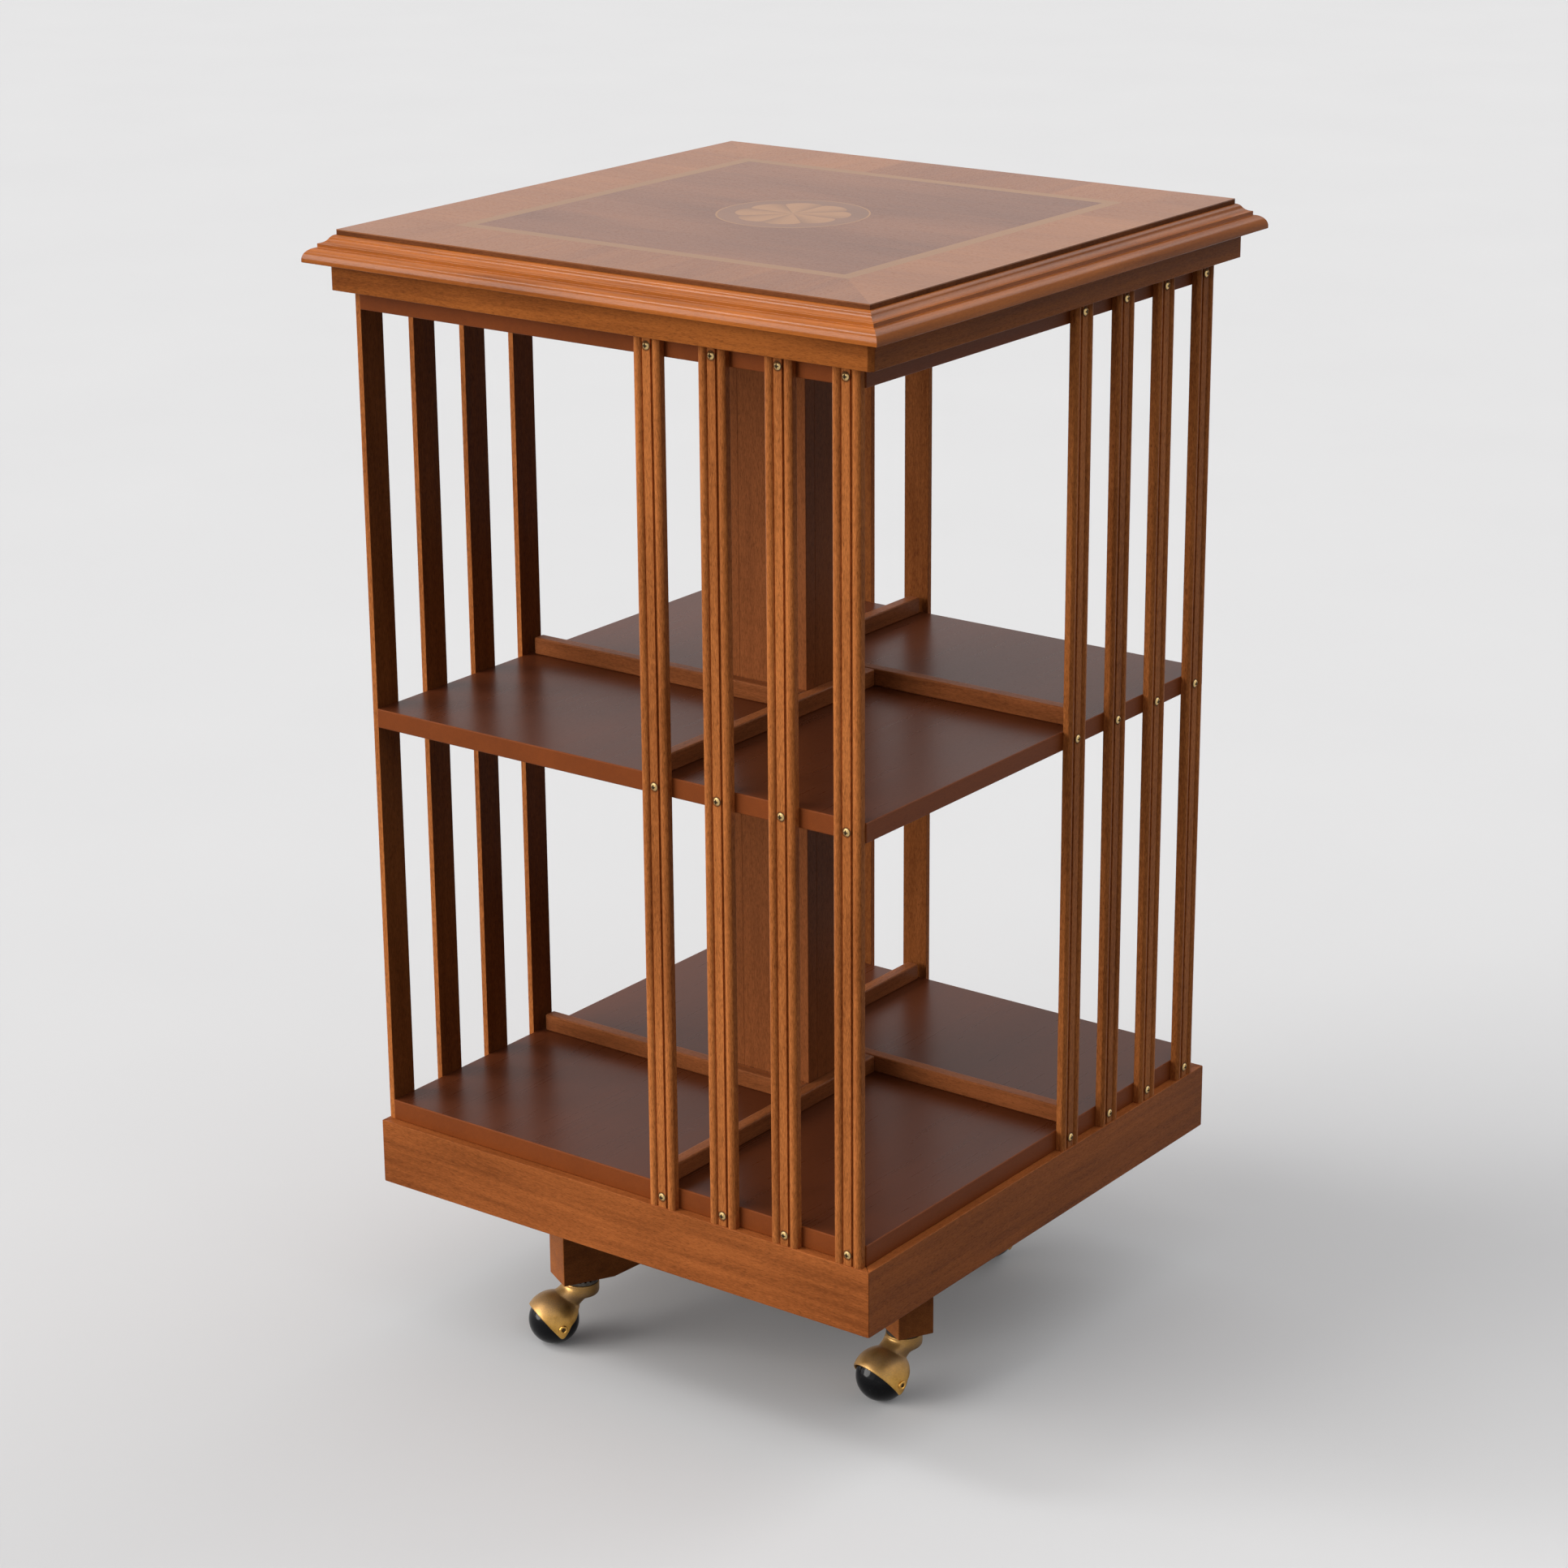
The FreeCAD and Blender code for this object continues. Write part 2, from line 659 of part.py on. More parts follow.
keep(column_boards("upper", "places.upper_floor", "sizes.upper_bay_height"),
     column_boards("lower", "places.lower_floor", "sizes.lower_bay_height"),
     book_stops("upper", "places.upper_floor"),
     book_stops("lower", "places.lower_floor"))


# ------------------------------------------------------------------ cross base
def cross_bar(name, quarter, notch_level, notch_depth):
    """A board on edge: feet at its ends, an underside that rises inwards, a halving joint."""
    body = new_body(name)
    end = "sizes.bar_half_length"
    foot_in = f"({end} - sizes.foot_length)"
    flat = "sizes.bar_middle_flat / 2"
    under = [(end, "sizes.foot_clearance"), (foot_in, "sizes.foot_clearance"),
             (flat, "places.bar_middle_under")]
    mirrored = [(f"-{x}", z) for x, z in reversed(under)]
    profile = [("-" + end, "places.bar_top"), (end, "places.bar_top")]
    sketch = outline(new_sketch(body, "XZ_Plane"), profile + under + mirrored)
    pad(body, sketch, "sizes.bar_width", midplane=True)
    across = "sizes.bar_width / 2"
    notch = rectangle(new_sketch(body, "XY_Plane", notch_level),
                      f"-{across}", "-sizes.bar_width", across, "sizes.bar_width")
    pocket(body, notch, notch_depth)
    bores = ring(new_sketch(body, "XY_Plane", "places.socket_top"), "places.stem_place", "0",
                 "places.socket_radius")
    ring(bores, "-places.stem_place", "0", "places.socket_radius")
    pocket(body, bores, "sizes.socket_sleeve_depth")
    bore = ring(new_sketch(body, "XY_Plane", "places.bar_top"), "0", "0", "places.spindle_radius")
    pocket(body, bore, "sizes.bar_middle_depth")
    return place(body, turn=f"sizes.bar_azimuth + {90 * quarter}")


cross_bar_lower = cross_bar("cross_bar_lower", 0, "places.bar_top", "sizes.bar_middle_depth / 2")
cross_bar_upper = cross_bar("cross_bar_upper", 1, "places.halving_level",
                            "sizes.bar_middle_depth / 2")


# ------------------------------------------------------------------ spindle, bush and bearing
def nut(name, under):
    blank = place(primitive("Prism", f"{name}_blank", Circumradius="sizes.nut_across_corners / 2",
                            Height="sizes.nut_height"), z=under)
    blank.Polygon = 6
    bore = place(primitive("Cylinder", f"{name}_bore", Radius="places.nut_bore",
                           Height="sizes.nut_height"), z=under)
    return cut(name, blank, bore)


def washer(name, under):
    rim = "places.nut_bore + sizes.washer_width"
    return turned(name, [("places.nut_bore", under), (rim, under),
                         (rim, f"{under} + sizes.washer_thickness"),
                         ("places.nut_bore", f"{under} + sizes.washer_thickness")])


lower_washer_under = "places.bar_middle_under - sizes.washer_thickness"
lower_nut_under = f"{lower_washer_under} - sizes.nut_height"
upper_nut_under = "places.upper_washer_under + sizes.washer_thickness"
spindle_foot = f"{lower_nut_under} - sizes.spindle_end_length"
spindle_head = f"{upper_nut_under} + sizes.nut_height + sizes.spindle_end_length"
spindle = turned("spindle", [
    ("0", spindle_foot),
    ("places.spindle_radius - sizes.spindle_chamfer", spindle_foot),
    ("places.spindle_radius", f"{spindle_foot} + sizes.spindle_chamfer"),
    ("places.spindle_radius", f"{spindle_head} - sizes.spindle_chamfer"),
    ("places.spindle_radius - sizes.spindle_chamfer", spindle_head),
    ("0", spindle_head)])
spindle_nuts = group("spindle_nuts_and_washers", [
    nut("lower_nut", lower_nut_under), washer("lower_washer", lower_washer_under),
    nut("upper_nut", upper_nut_under), washer("upper_washer", "places.upper_washer_under")])
bush_bore = "places.spindle_radius + sizes.bush_running_clearance"
bush_flange_top = "places.upper_floor + sizes.bush_flange_thickness"
spindle_bush = turned("spindle_bush", [
    (bush_bore, "places.mid_shelf_under"), ("places.bush_radius", "places.mid_shelf_under"),
    ("places.bush_radius", "places.upper_floor"), ("places.bush_flange_radius", "places.upper_floor"),
    ("places.bush_flange_radius", bush_flange_top), (bush_bore, bush_flange_top)])


def race(name, face, back, sweep):
    """A flat ring with a ball groove in the face that looks into the bearing."""
    inner = "sizes.race_inner_diameter / 2"
    outer = "sizes.race_outer_diameter / 2"
    groove_in = "sizes.bearing_pitch_radius - places.groove_half"
    groove_out = "sizes.bearing_pitch_radius + places.groove_half"
    return turned(name, [(inner, back), (inner, face), (groove_in, face, sweep),
                         (groove_out, face), (outer, face), (outer, back)])


lower_race = race("lower_race", "places.lower_race_top", "places.bar_top", "places.groove_sweep")
upper_race = race("upper_race", "places.upper_race_under", "places.plinth_top",
                  "-places.groove_sweep")
cage_under = "places.bearing_level - sizes.cage_thickness / 2"
cage_inner = "sizes.bearing_pitch_radius - sizes.cage_width / 2"
cage_outer = "sizes.bearing_pitch_radius + sizes.cage_width / 2"
cage_top = f"{cage_under} + sizes.cage_thickness"
ball_cage = turned("ball_cage", [(cage_inner, cage_under), (cage_outer, cage_under),
                                 (cage_outer, cage_top), (cage_inner, cage_top)])
cage_holes = new_sketch(ball_cage, "XY_Plane", cage_top)
bearing_balls = []
for count in range(BEARING_BALLS):
    spoke = f"{360 / BEARING_BALLS * count} deg"
    ball_x = f"sizes.bearing_pitch_radius * cos({spoke})"
    ball_y = f"sizes.bearing_pitch_radius * sin({spoke})"
    ring(cage_holes, ball_x, ball_y, "places.bearing_groove")
    ball = primitive("Sphere", f"bearing_ball_{count + 1}",
                     Radius="sizes.bearing_ball_diameter / 2")
    bearing_balls.append(place(ball, x=ball_x, y=ball_y, z="places.bearing_level"))
pocket(ball_cage, cage_holes, "sizes.cage_thickness")
keep(cross_bar_lower, cross_bar_upper, spindle, spindle_nuts, spindle_bush, lower_race,
     upper_race, ball_cage, group("bearing_balls", bearing_balls))


# ------------------------------------------------------------------ casters
# built about the stem's axis with the ball trailing to +X, then turned and set under their feet
def under_foot(thing, end, swivels=True):
    """Set a caster's piece under one end of the cross, turned to its trail if it swivels."""
    azimuth = f"(sizes.bar_azimuth + {90 * end}) * 1 deg"
    turn = f"sizes.{SIDES[end]}_trail_azimuth" if swivels else "0"
    return place(thing, x=f"places.stem_place * cos({azimuth})",
                 y=f"places.stem_place * sin({azimuth})", turn=turn)


def caster_socket(end):
    """A sleeve driven up into the foot, with a flange whose toothed rim grips the wood."""
    flange_top = "sizes.foot_clearance"
    rim = "sizes.socket_flange_radius"
    body = turned(f"caster_socket_{SIDES[end]}", [
        ("places.socket_bore", "places.socket_under"), (rim, "places.socket_under"),
        (rim, flange_top), ("places.socket_radius", flange_top),
        ("places.socket_radius", "places.socket_top"), ("places.socket_bore", "places.socket_top")])
    gap = rectangle(new_sketch(body, "XY_Plane", flange_top), f"{rim} - sizes.socket_tooth_length",
                    "-sizes.socket_tooth_gap_width / 2", f"{rim} + sizes.socket_tooth_length",
                    "sizes.socket_tooth_gap_width / 2")
    notch = pocket(body, gap, "sizes.socket_tooth_gap_depth")
    teeth = body.newObject("PartDesign::PolarPattern", "teeth")
    teeth.Originals = [notch]
    teeth.Axis = (gap, ["N_Axis"])
    teeth.Angle = 360
    teeth.Occurrences = SOCKET_TEETH
    body.Tip = teeth
    return under_foot(body, end, swivels=False)


def caster_hood(end):
    """A cast hood: a ball-shaped shell, a neck that leans back from it and a boss on the neck."""
    name = f"caster_hood_{SIDES[end]}"
    shell = place(primitive("Sphere", f"{name}_shell", Radius="places.hood_outside"),
                  x="sizes.caster_trail", z="places.ball_radius")
    boss = place(primitive("Cylinder", f"{name}_boss", Radius="sizes.boss_radius",
                           Height="sizes.boss_height"), z="places.boss_under")
    lean = "sizes.hood_neck_angle * 1 deg"
    spread = "sizes.hood_neck_spread * 1 deg"
    root = primitive("Circle", f"{name}_neck_root", Radius=f"places.hood_midwall * sin({spread})")
    bind(root, **{
        "Placement.Base.x": f"sizes.caster_trail + places.hood_midwall * cos({spread}) * cos({lean})",
        "Placement.Base.z": f"places.ball_radius + places.hood_midwall * cos({spread}) * sin({lean})",
        "Placement.Rotation.Axis.x": "0",
        "Placement.Rotation.Axis.y": "1",
        "Placement.Rotation.Axis.z": "0",
        "Placement.Rotation.Angle": "(90 - sizes.hood_neck_angle) * 1 deg"})
    collar = place(primitive("Circle", f"{name}_neck_collar", Radius="sizes.boss_radius"),
                   z="places.boss_under + sizes.hood_neck_reach")
    neck = doc.addObject("Part::Loft", f"{name}_neck")
    neck.Sections = [root, collar]
    neck.Solid = True
    neck.Ruled = True
    blank = fuse(f"{name}_blank", shell, neck, boss)

    # side view of what stays: rim line up to the tip, lobe round the axle, knee and neck behind
    view = doc.addObject("Sketcher::SketchObject", f"{name}_side_view")
    view.Placement = Placement(Vector(), Rotation(Vector(1, 0, 0), 90))
    reach = "(2 * places.hood_outside)"
    rim_run = "cos(sizes.hood_tip_angle * 1 deg) * places.hood_outside"
    rim_rise = "sin(sizes.hood_tip_angle * 1 deg) * places.hood_outside"
    lobe = "sizes.hood_lobe_width / 2"
    side = [
        (f"-{lobe}", "-sizes.hood_lobe_drop", "sizes.hood_lobe_sweep"),
        (lobe, "-sizes.hood_lobe_drop"),
        (f"2 * ({rim_run}) - {lobe}", f"2 * ({rim_rise}) + sizes.hood_lobe_drop"),
        (reach, reach),
        (f"-{reach}", reach),
        (f"-{reach}", "sizes.hood_rear_rise"),
        ("-sizes.hood_rear_back", "sizes.hood_rear_rise", "sizes.hood_knee_sweep"),
        ("-sizes.hood_knee_back", "sizes.hood_knee_rise"),
    ]
    outline(view, [(f"sizes.caster_trail + {x}", f"places.ball_radius + {z}", *sweep)
                   for x, z, *sweep in side])
    slab = doc.addObject("Part::Extrusion", f"{name}_slab")
    slab.Base = view
    slab.DirMode = "Normal"
    slab.Solid = True
    slab.Symmetric = True
    bind(slab, LengthFwd="4 * places.hood_outside")
    trimmed = doc.addObject("Part::Common", f"{name}_trimmed")
    trimmed.Base = blank
    trimmed.Tool = slab
    hollow = place(primitive("Sphere", f"{name}_hollow", Radius="places.hood_inside"),
                   x="sizes.caster_trail", z="places.ball_radius")
    stem_hole = place(primitive("Cylinder", f"{name}_stem_hole", Radius="places.stem_radius",
                                Height="sizes.boss_height"),
                      z="places.boss_under + sizes.boss_floor")
    axle_hole = axle(f"{name}_axle_hole", "sizes.axle_diameter / 2")
    hood = cut(name, trimmed, hollow, stem_hole, axle_hole)
    hood.Label = name
    return under_foot(hood, end)


def axle(name, radius):
    """A cylinder across the caster through the ball's centre."""
    half = "(places.hood_outside + sizes.axle_end)"
    rod = primitive("Cylinder", name, Radius=radius, Height=f"2 * {half}")
    rod.Placement = Placement(Vector(), Rotation(Vector(1, 0, 0), 90))
    bind(rod, **{"Placement.Base.x": "sizes.caster_trail", "Placement.Base.y": half,
                 "Placement.Base.z": "places.ball_radius"})
    return rod


def caster_pins(end):
    """The swivel stem, fast in the boss, and the axle riveted through the hood."""
    name = f"caster_pins_{SIDES[end]}"
    foot = "places.boss_under + sizes.boss_floor"
    head = "places.socket_top - sizes.stem_end_gap"
    stem = turned(f"{name}_stem", [
        ("0", foot), ("places.stem_radius", foot),
        ("places.stem_radius", f"{head} - sizes.stem_chamfer"),
        ("places.stem_radius - sizes.stem_chamfer", head), ("0", head)])
    return under_foot(group(name, [stem, axle(f"{name}_axle", "sizes.axle_diameter / 2")]), end)


def caster_ball(end):
    name = f"caster_ball_{SIDES[end]}"
    sphere = place(primitive("Sphere", f"{name}_sphere", Radius="places.ball_radius"),
                   x="sizes.caster_trail", z="places.ball_radius")
    bore = axle(f"{name}_bore", "sizes.axle_diameter / 2 + sizes.axle_running_clearance")
    ball = cut(name, sphere, bore)
    ball.Label = name
    return under_foot(ball, end)


keep(group("caster_sockets", [caster_socket(end) for end in range(4)]))
for end in range(4):
    keep(caster_hood(end), caster_pins(end), caster_ball(end))

# ------------------------------------------------------------------ check and write
doc.recompute()
for thing in doc.Objects:
    if "Invalid" in thing.State or "Error" in thing.State:
        raise RuntimeError(f"{thing.Label} failed: {thing.State}")
for node in nodes:
    if node.Shape.isNull() or not node.Shape.isValid():
        raise RuntimeError(f"{node.Label} has no sound shape")
os.makedirs("parts", exist_ok=True)
for node in nodes:
    node.Shape.exportStep(f"parts/{node.Label}.step")
box = Part.Compound([node.Shape for node in nodes]).BoundBox
print(f"{len(nodes)} nodes, {sum(len(node.Shape.Solids) for node in nodes)} solids")
print(f"x {box.XMin:.2f} {box.XMax:.2f}  y {box.YMin:.2f} {box.YMax:.2f}  "
      f"z {box.ZMin:.2f} {box.ZMax:.2f}")
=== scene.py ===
"""Dressed model of a square mahogany bookcase of two tiers that revolves on a cross base.

Metres throughout. The origin is on the floor under the spindle, the front face looks to -Y
and the right-hand face to +X. The sections follow the order in which the piece is assembled.
"""

import json
import math

import bmesh
import bpy
from mathutils import Euler, Matrix, Vector


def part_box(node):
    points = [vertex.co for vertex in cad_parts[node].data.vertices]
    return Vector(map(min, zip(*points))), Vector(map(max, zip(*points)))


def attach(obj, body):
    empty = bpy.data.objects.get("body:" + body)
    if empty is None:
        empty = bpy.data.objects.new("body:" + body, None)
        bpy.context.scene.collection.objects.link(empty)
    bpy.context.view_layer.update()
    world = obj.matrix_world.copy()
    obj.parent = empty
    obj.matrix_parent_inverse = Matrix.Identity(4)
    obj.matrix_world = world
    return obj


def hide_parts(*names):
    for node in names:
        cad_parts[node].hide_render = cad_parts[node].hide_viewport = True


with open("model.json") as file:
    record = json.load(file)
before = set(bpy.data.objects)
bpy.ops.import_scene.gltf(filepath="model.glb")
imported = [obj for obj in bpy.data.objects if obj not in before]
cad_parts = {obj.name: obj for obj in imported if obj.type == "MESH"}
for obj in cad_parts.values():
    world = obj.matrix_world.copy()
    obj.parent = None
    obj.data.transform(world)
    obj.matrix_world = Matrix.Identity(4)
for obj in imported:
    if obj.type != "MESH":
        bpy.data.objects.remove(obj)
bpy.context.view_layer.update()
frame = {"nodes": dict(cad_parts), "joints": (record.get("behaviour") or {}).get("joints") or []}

# ------------------------------------------------------------------ cross base
# Two mahogany boards on edge, halved over each other at the middle. Their undersides rise
# inwards from the feet at their ends. Planed, with the arrises just taken off.
BAR_EASING = 0.0007
JOINED_WITHIN = 0.00001
FLAT_UNDER = math.radians(0.6)
EASED_OVER = math.radians(25)
SMOOTH_UNDER = math.radians(38)
SHORTEST_EASED = 0.004
RELIEF_DEPTH = 0.0001
WANDER_SCALE = 7.0
WANDER_REACH = 0.010
BASE_DARK = (0.190, 0.056, 0.016, 1)
BASE_LIGHT = (0.400, 0.128, 0.032, 1)
# the brown of open pores, and also the colour of the painted shade on the slats
PORE_AND_SHADE_BROWN = (0.050, 0.013, 0.004, 1)


class Wire:
    """One socket of a material's nodes. Python's operators on it add Math nodes."""

    def __init__(self, socket):
        self.socket = socket

    def node(self, kind, settings, inputs, output=0):
        """Add a node beside this one: its settings first, then its sockets' values or wires."""
        tree = self.socket.id_data
        made = tree.nodes.new(kind)
        for name, value in settings.items():
            setattr(made, name, value)
        for name, value in inputs.items():
            if isinstance(value, Wire):
                tree.links.new(value.socket, made.inputs[name])
            else:
                made.inputs[name].default_value = value
        return Wire(made.outputs[output])

    def maths(self, operation, *values, clamp=False):
        settings = {"operation": operation, "use_clamp": clamp}
        return self.node("ShaderNodeMath", settings, dict(enumerate(values)))

    def __add__(self, other):
        return self.maths("ADD", self, other)

    __radd__ = __add__

    def __sub__(self, other):
        return self.maths("SUBTRACT", self, other)

    def __rsub__(self, other):
        return self.maths("SUBTRACT", other, self)

    def __mul__(self, other):
        return self.maths("MULTIPLY", self, other)

    def __truediv__(self, other):
        return self.maths("DIVIDE", self, other)

    def __abs__(self):
        return self.maths("ABSOLUTE", self)

    def over(self, level):
        """1 where this is above a level, else 0."""
        return self.maths("GREATER_THAN", self, level)

    def swing(self, reach):
        """This noise less its middle, times how far it may reach."""
        return (self - 0.5) * reach

    def ramp(self, low, high):
        """0 at low, 1 at high, and clamped outside them."""
        return self.maths("MULTIPLY", self - low, 1 / (high - low), clamp=True)

    def mixed(self, start, end):
        """The colour from start to end with this as the share."""
        settings = {"data_type": "RGBA", "blend_type": "MIX"}
        return self.node("ShaderNodeMix", settings, {0: self, 6: start, 7: end}, 2)

    def parts(self):
        """The three numbers of this vector."""
        apart = self.node("ShaderNodeSeparateXYZ", {}, {0: self}).socket.node
        return [Wire(output) for output in apart.outputs]

    def noise(self, scale, detail=2.0, rough=0.5, output=0):
        inputs = {"Vector": self, "Scale": scale, "Detail": detail, "Roughness": rough}
        return self.node("ShaderNodeTexNoise", {}, inputs, output)


def new_finish(name, constants):
    """A material, its shader with these constants set, and the wire of its object coordinates."""
    material = bpy.data.materials.new(name)
    material.use_nodes = True
    shader = material.node_tree.nodes["Principled BSDF"]
    for socket, value in constants.items():
        shader.inputs[socket].default_value = value
    spot = Wire(material.node_tree.nodes.new("ShaderNodeTexCoord").outputs["Object"])
    return material, shader, spot


def feed(shader, wires):
    """Link wires to the shader's sockets."""
    for socket, wire in wires.items():
        shader.id_data.links.new(wire.socket, shader.inputs[socket])


def relief(height, strength, depth=RELIEF_DEPTH):
    """The normal of a surface with this height map, depth metres from low to high."""
    return height.node("ShaderNodeBump", {}, {"Strength": strength, "Distance": depth,
                                              "Height": height}, "Normal")


def wood_layers(spot, grain, seed=0.0):
    """Tone, ribbon figure, fibre and open pores of mahogany whose grain runs along an axis."""
    wander = spot.node("ShaderNodeVectorMath", {"operation": "MULTIPLY_ADD"},
                       {0: spot.noise(WANDER_SCALE, detail=1.0, output=1),
                        1: (WANDER_REACH, WANDER_REACH, WANDER_REACH), 2: spot})

    def drawn_out(times):
        scale = [1.0, 1.0, 1.0]
        scale["XYZ".index(grain)] = 1 / times
        return wander.node("ShaderNodeMapping", {}, {"Vector": wander, "Scale": scale,
                                                     "Location": (seed, seed, seed)})

    tone = drawn_out(4).noise(17.0, detail=3.0)
    ribbon = drawn_out(26).noise(210.0, detail=2.0)
    fibre = drawn_out(6).noise(1200.0, detail=3.0, rough=0.65)
    pores = drawn_out(7).noise(2300.0, detail=1.0).ramp(0.54, 0.72)
    return tone, ribbon, fibre, pores


def swung(layers, reaches, middle=0.5):
    """The share of light wood, 0 to 1: a middle value that each layer moves by its reach."""
    share = middle
    for layer, reach in zip(layers, reaches):
        share = share + layer.swing(reach)
    return share.ramp(0.0, 1.0)


def mahogany(name, dark, light, grain, figure=1.0, rough=0.36, shine=0.06, pored=0.4,
             bumpy=0.25):
    """Polished mahogany: two colours, the axis of its grain, and how strong its figure is."""
    material, shader, spot = new_finish(name, {"Specular IOR Level": shine})
    tone, ribbon, fibre, pores = wood_layers(spot, grain)
    share = swung((tone, ribbon, fibre), (1.7 * figure, 1.2 * figure, 3.4 * pored))
    feed(shader, {"Base Color": (pores * pored).mixed(share.mixed(dark, light), PORE_AND_SHADE_BROWN),
                  "Roughness": rough + (ribbon.swing(0.4) + pores * 0.35) * pored,
                  "Normal": relief(fibre * 0.35 - pores * 0.6, bumpy)})
    return material


def merged_copy(node):
    """A bmesh of a CAD node: its loose triangles joined and its flat faces made whole."""
    shape = bmesh.new()
    shape.from_mesh(frame["nodes"][node].data)
    bmesh.ops.remove_doubles(shape, verts=shape.verts, dist=JOINED_WITHIN)
    bmesh.ops.dissolve_limit(shape, angle_limit=FLAT_UNDER, verts=shape.verts,
                             edges=shape.edges)
    return shape


def ease(shape, width, segments=2):
    """Round a bmesh's sharp edges, but for the shortest."""
    edges = [edge for edge in shape.edges
             if len(edge.link_faces) == 2 and edge.calc_length() > SHORTEST_EASED
             and edge.calc_face_angle() > EASED_OVER]
    bmesh.ops.bevel(shape, geom=edges, offset=width, offset_type="OFFSET", segments=segments,
                    profile=0.5, affect="EDGES", clamp_overlap=True, material=-1)


def add_piece(name, shape, materials, body, slot, *nodes):
    """Turn a bmesh into a smooth-shaded piece that rides on a body and stands for CAD nodes."""
    mesh = bpy.data.meshes.new(name)
    shape.to_mesh(mesh)
    shape.free()
    for material in materials:
        mesh.materials.append(material)
    mesh.shade_smooth()
    mesh.set_sharp_from_angle(angle=SMOOTH_UNDER)
    piece = bpy.data.objects.new(name, mesh)
    bpy.context.scene.collection.objects.link(piece)
    weighted = piece.modifiers.new("flat_faces", "WEIGHTED_NORMAL")
    weighted.keep_sharp = True
    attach(piece, body)
    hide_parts(*nodes)


for bar in ("lower", "upper"):
    low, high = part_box(f"cross_bar_{bar}")
    along = "X" if high.x - low.x > high.y - low.y else "Y"
    bar_wood = mahogany(f"{bar}_bar_mahogany", BASE_DARK, BASE_LIGHT, along, figure=0.8,
                        rough=0.45)
    shape = merged_copy(f"cross_bar_{bar}")
    ease(shape, BAR_EASING)
    add_piece(f"{bar}_bar", shape, [bar_wood], "base", "base", f"cross_bar_{bar}")


# ------------------------------------------------------------------ caster sockets
# Pressed steel sleeves driven up into the feet. The toothed rim of each flange bites into
# the wood and shows as a row of bright points over a dark band.
STEEL_DARK = (0.035, 0.030, 0.025, 1)
STEEL_LIGHT = (0.15, 0.135, 0.115, 1)
GRIME = (0.03, 0.02, 0.015, 1)
PITTING_DEPTH = 0.00015


def metal(name, dark, light, rough, speckle):
    """Aged metal: cloudy tone, fine dark speckle in its skin and uneven shine."""
    material, shader, spot = new_finish(name, {"Metallic": 1.0})
    cloud = spot.noise(120.0, detail=3.0, rough=0.6)
    grit = spot.noise(1300.0, detail=2.0, rough=0.6)
    fleck = grit.ramp(0.56, 0.70)
    colour = (fleck * speckle).mixed(cloud.ramp(0.30, 0.70).mixed(dark, light), GRIME)
    feed(shader, {"Base Color": colour,
                  "Roughness": rough + cloud.swing(0.25) + fleck * 0.18,
                  "Normal": relief(grit, 0.25, PITTING_DEPTH)})
    return material


def dress(material, *nodes):
    """Give CAD nodes that keep their own shape a material."""
    for node in nodes:
        data = frame["nodes"][node].data
        data.materials.clear()
        data.materials.append(material)


dress(metal("socket_steel", STEEL_DARK, STEEL_LIGHT, rough=0.38, speckle=0.6),
      "caster_sockets")


# ------------------------------------------------------------------ caster hoods
# Cast brass ball hoods with a neck that flows back up into the boss, swivelling on the stem.
# Antique: brown and speckled above, rubbed to yellow on the cheeks and along the rim. Most of
# the brown stays on the boss as well, partly patina and partly painted shade under the socket.
SIDES = ("front", "right", "back", "left")
HOOD_VOXEL = 0.0005
HOOD_PASSES = 5
NECK_PASSES = 90
HOOD_OUTSIDE = 0.0214
NECK_FROM = 0.0218
NECK_TOP = 0.0442
PATINA_THICKENS = (0.019, 0.037)
PATINA_THINS = (0.0375, 0.043)
BRASS_DARK = (0.44, 0.225, 0.045, 1)
BRASS_LIGHT = (0.92, 0.52, 0.120, 1)
# patina brown, also used as painted shade on the boss under the socket
PATINA_AND_BOSS_SHADE = (0.190, 0.108, 0.052, 1)


def cast(node, centre):
    """A CAD node's shape as a casting: remeshed small, then smoothed, most at the neck."""
    rough_copy = merged_copy(node)
    mesh = bpy.data.meshes.new("casting")
    rough_copy.to_mesh(mesh)
    rough_copy.free()
    pattern = bpy.data.objects.new("casting", mesh)
    bpy.context.scene.collection.objects.link(pattern)
    remesh = pattern.modifiers.new("cells", "REMESH")
    remesh.mode = "VOXEL"
    remesh.voxel_size = HOOD_VOXEL
    shown = pattern.evaluated_get(bpy.context.evaluated_depsgraph_get())
    cells = bpy.data.meshes.new_from_object(shown)
    shape = bmesh.new()
    shape.from_mesh(cells)
    bpy.data.objects.remove(pattern)
    bpy.data.meshes.remove(mesh)
    bpy.data.meshes.remove(cells)
    neck = [vert for vert in shape.verts
            if (vert.co - centre).length > NECK_FROM and vert.co.z < NECK_TOP]
    for verts, passes in ((neck, NECK_PASSES), (shape.verts, HOOD_PASSES)):
        for _ in range(passes):
            bmesh.ops.smooth_vert(shape, verts=verts, factor=0.5, use_axis_x=True,
                                  use_axis_y=True, use_axis_z=True)
    return shape


hood_brass, shader, spot = new_finish("hood_brass", {})
height = spot.parts()[2]
cloud = spot.noise(110.0, detail=3.0, rough=0.6)
grit = spot.noise(2400.0, detail=2.0, rough=0.7)
# patina on the upper dome; on the boss it is partly painted shade under the socket
patina_and_boss_shade = height.ramp(*PATINA_THICKENS) * (1 - height.ramp(*PATINA_THINS) * 0.35)
fleck = (patina_and_boss_shade * 0.95 + cloud.swing(0.9) + grit.swing(1.6)).ramp(0.0, 1.0)
bare = cloud.ramp(0.3, 0.7).mixed(BRASS_DARK, BRASS_LIGHT)
feed(shader, {"Base Color": (fleck * 0.9).mixed(bare, PATINA_AND_BOSS_SHADE),
              "Metallic": 1.0 - fleck * 0.6,
              "Roughness": 0.29 + fleck * 0.20 + cloud.swing(0.15),
              "Normal": relief(grit, 0.2)})
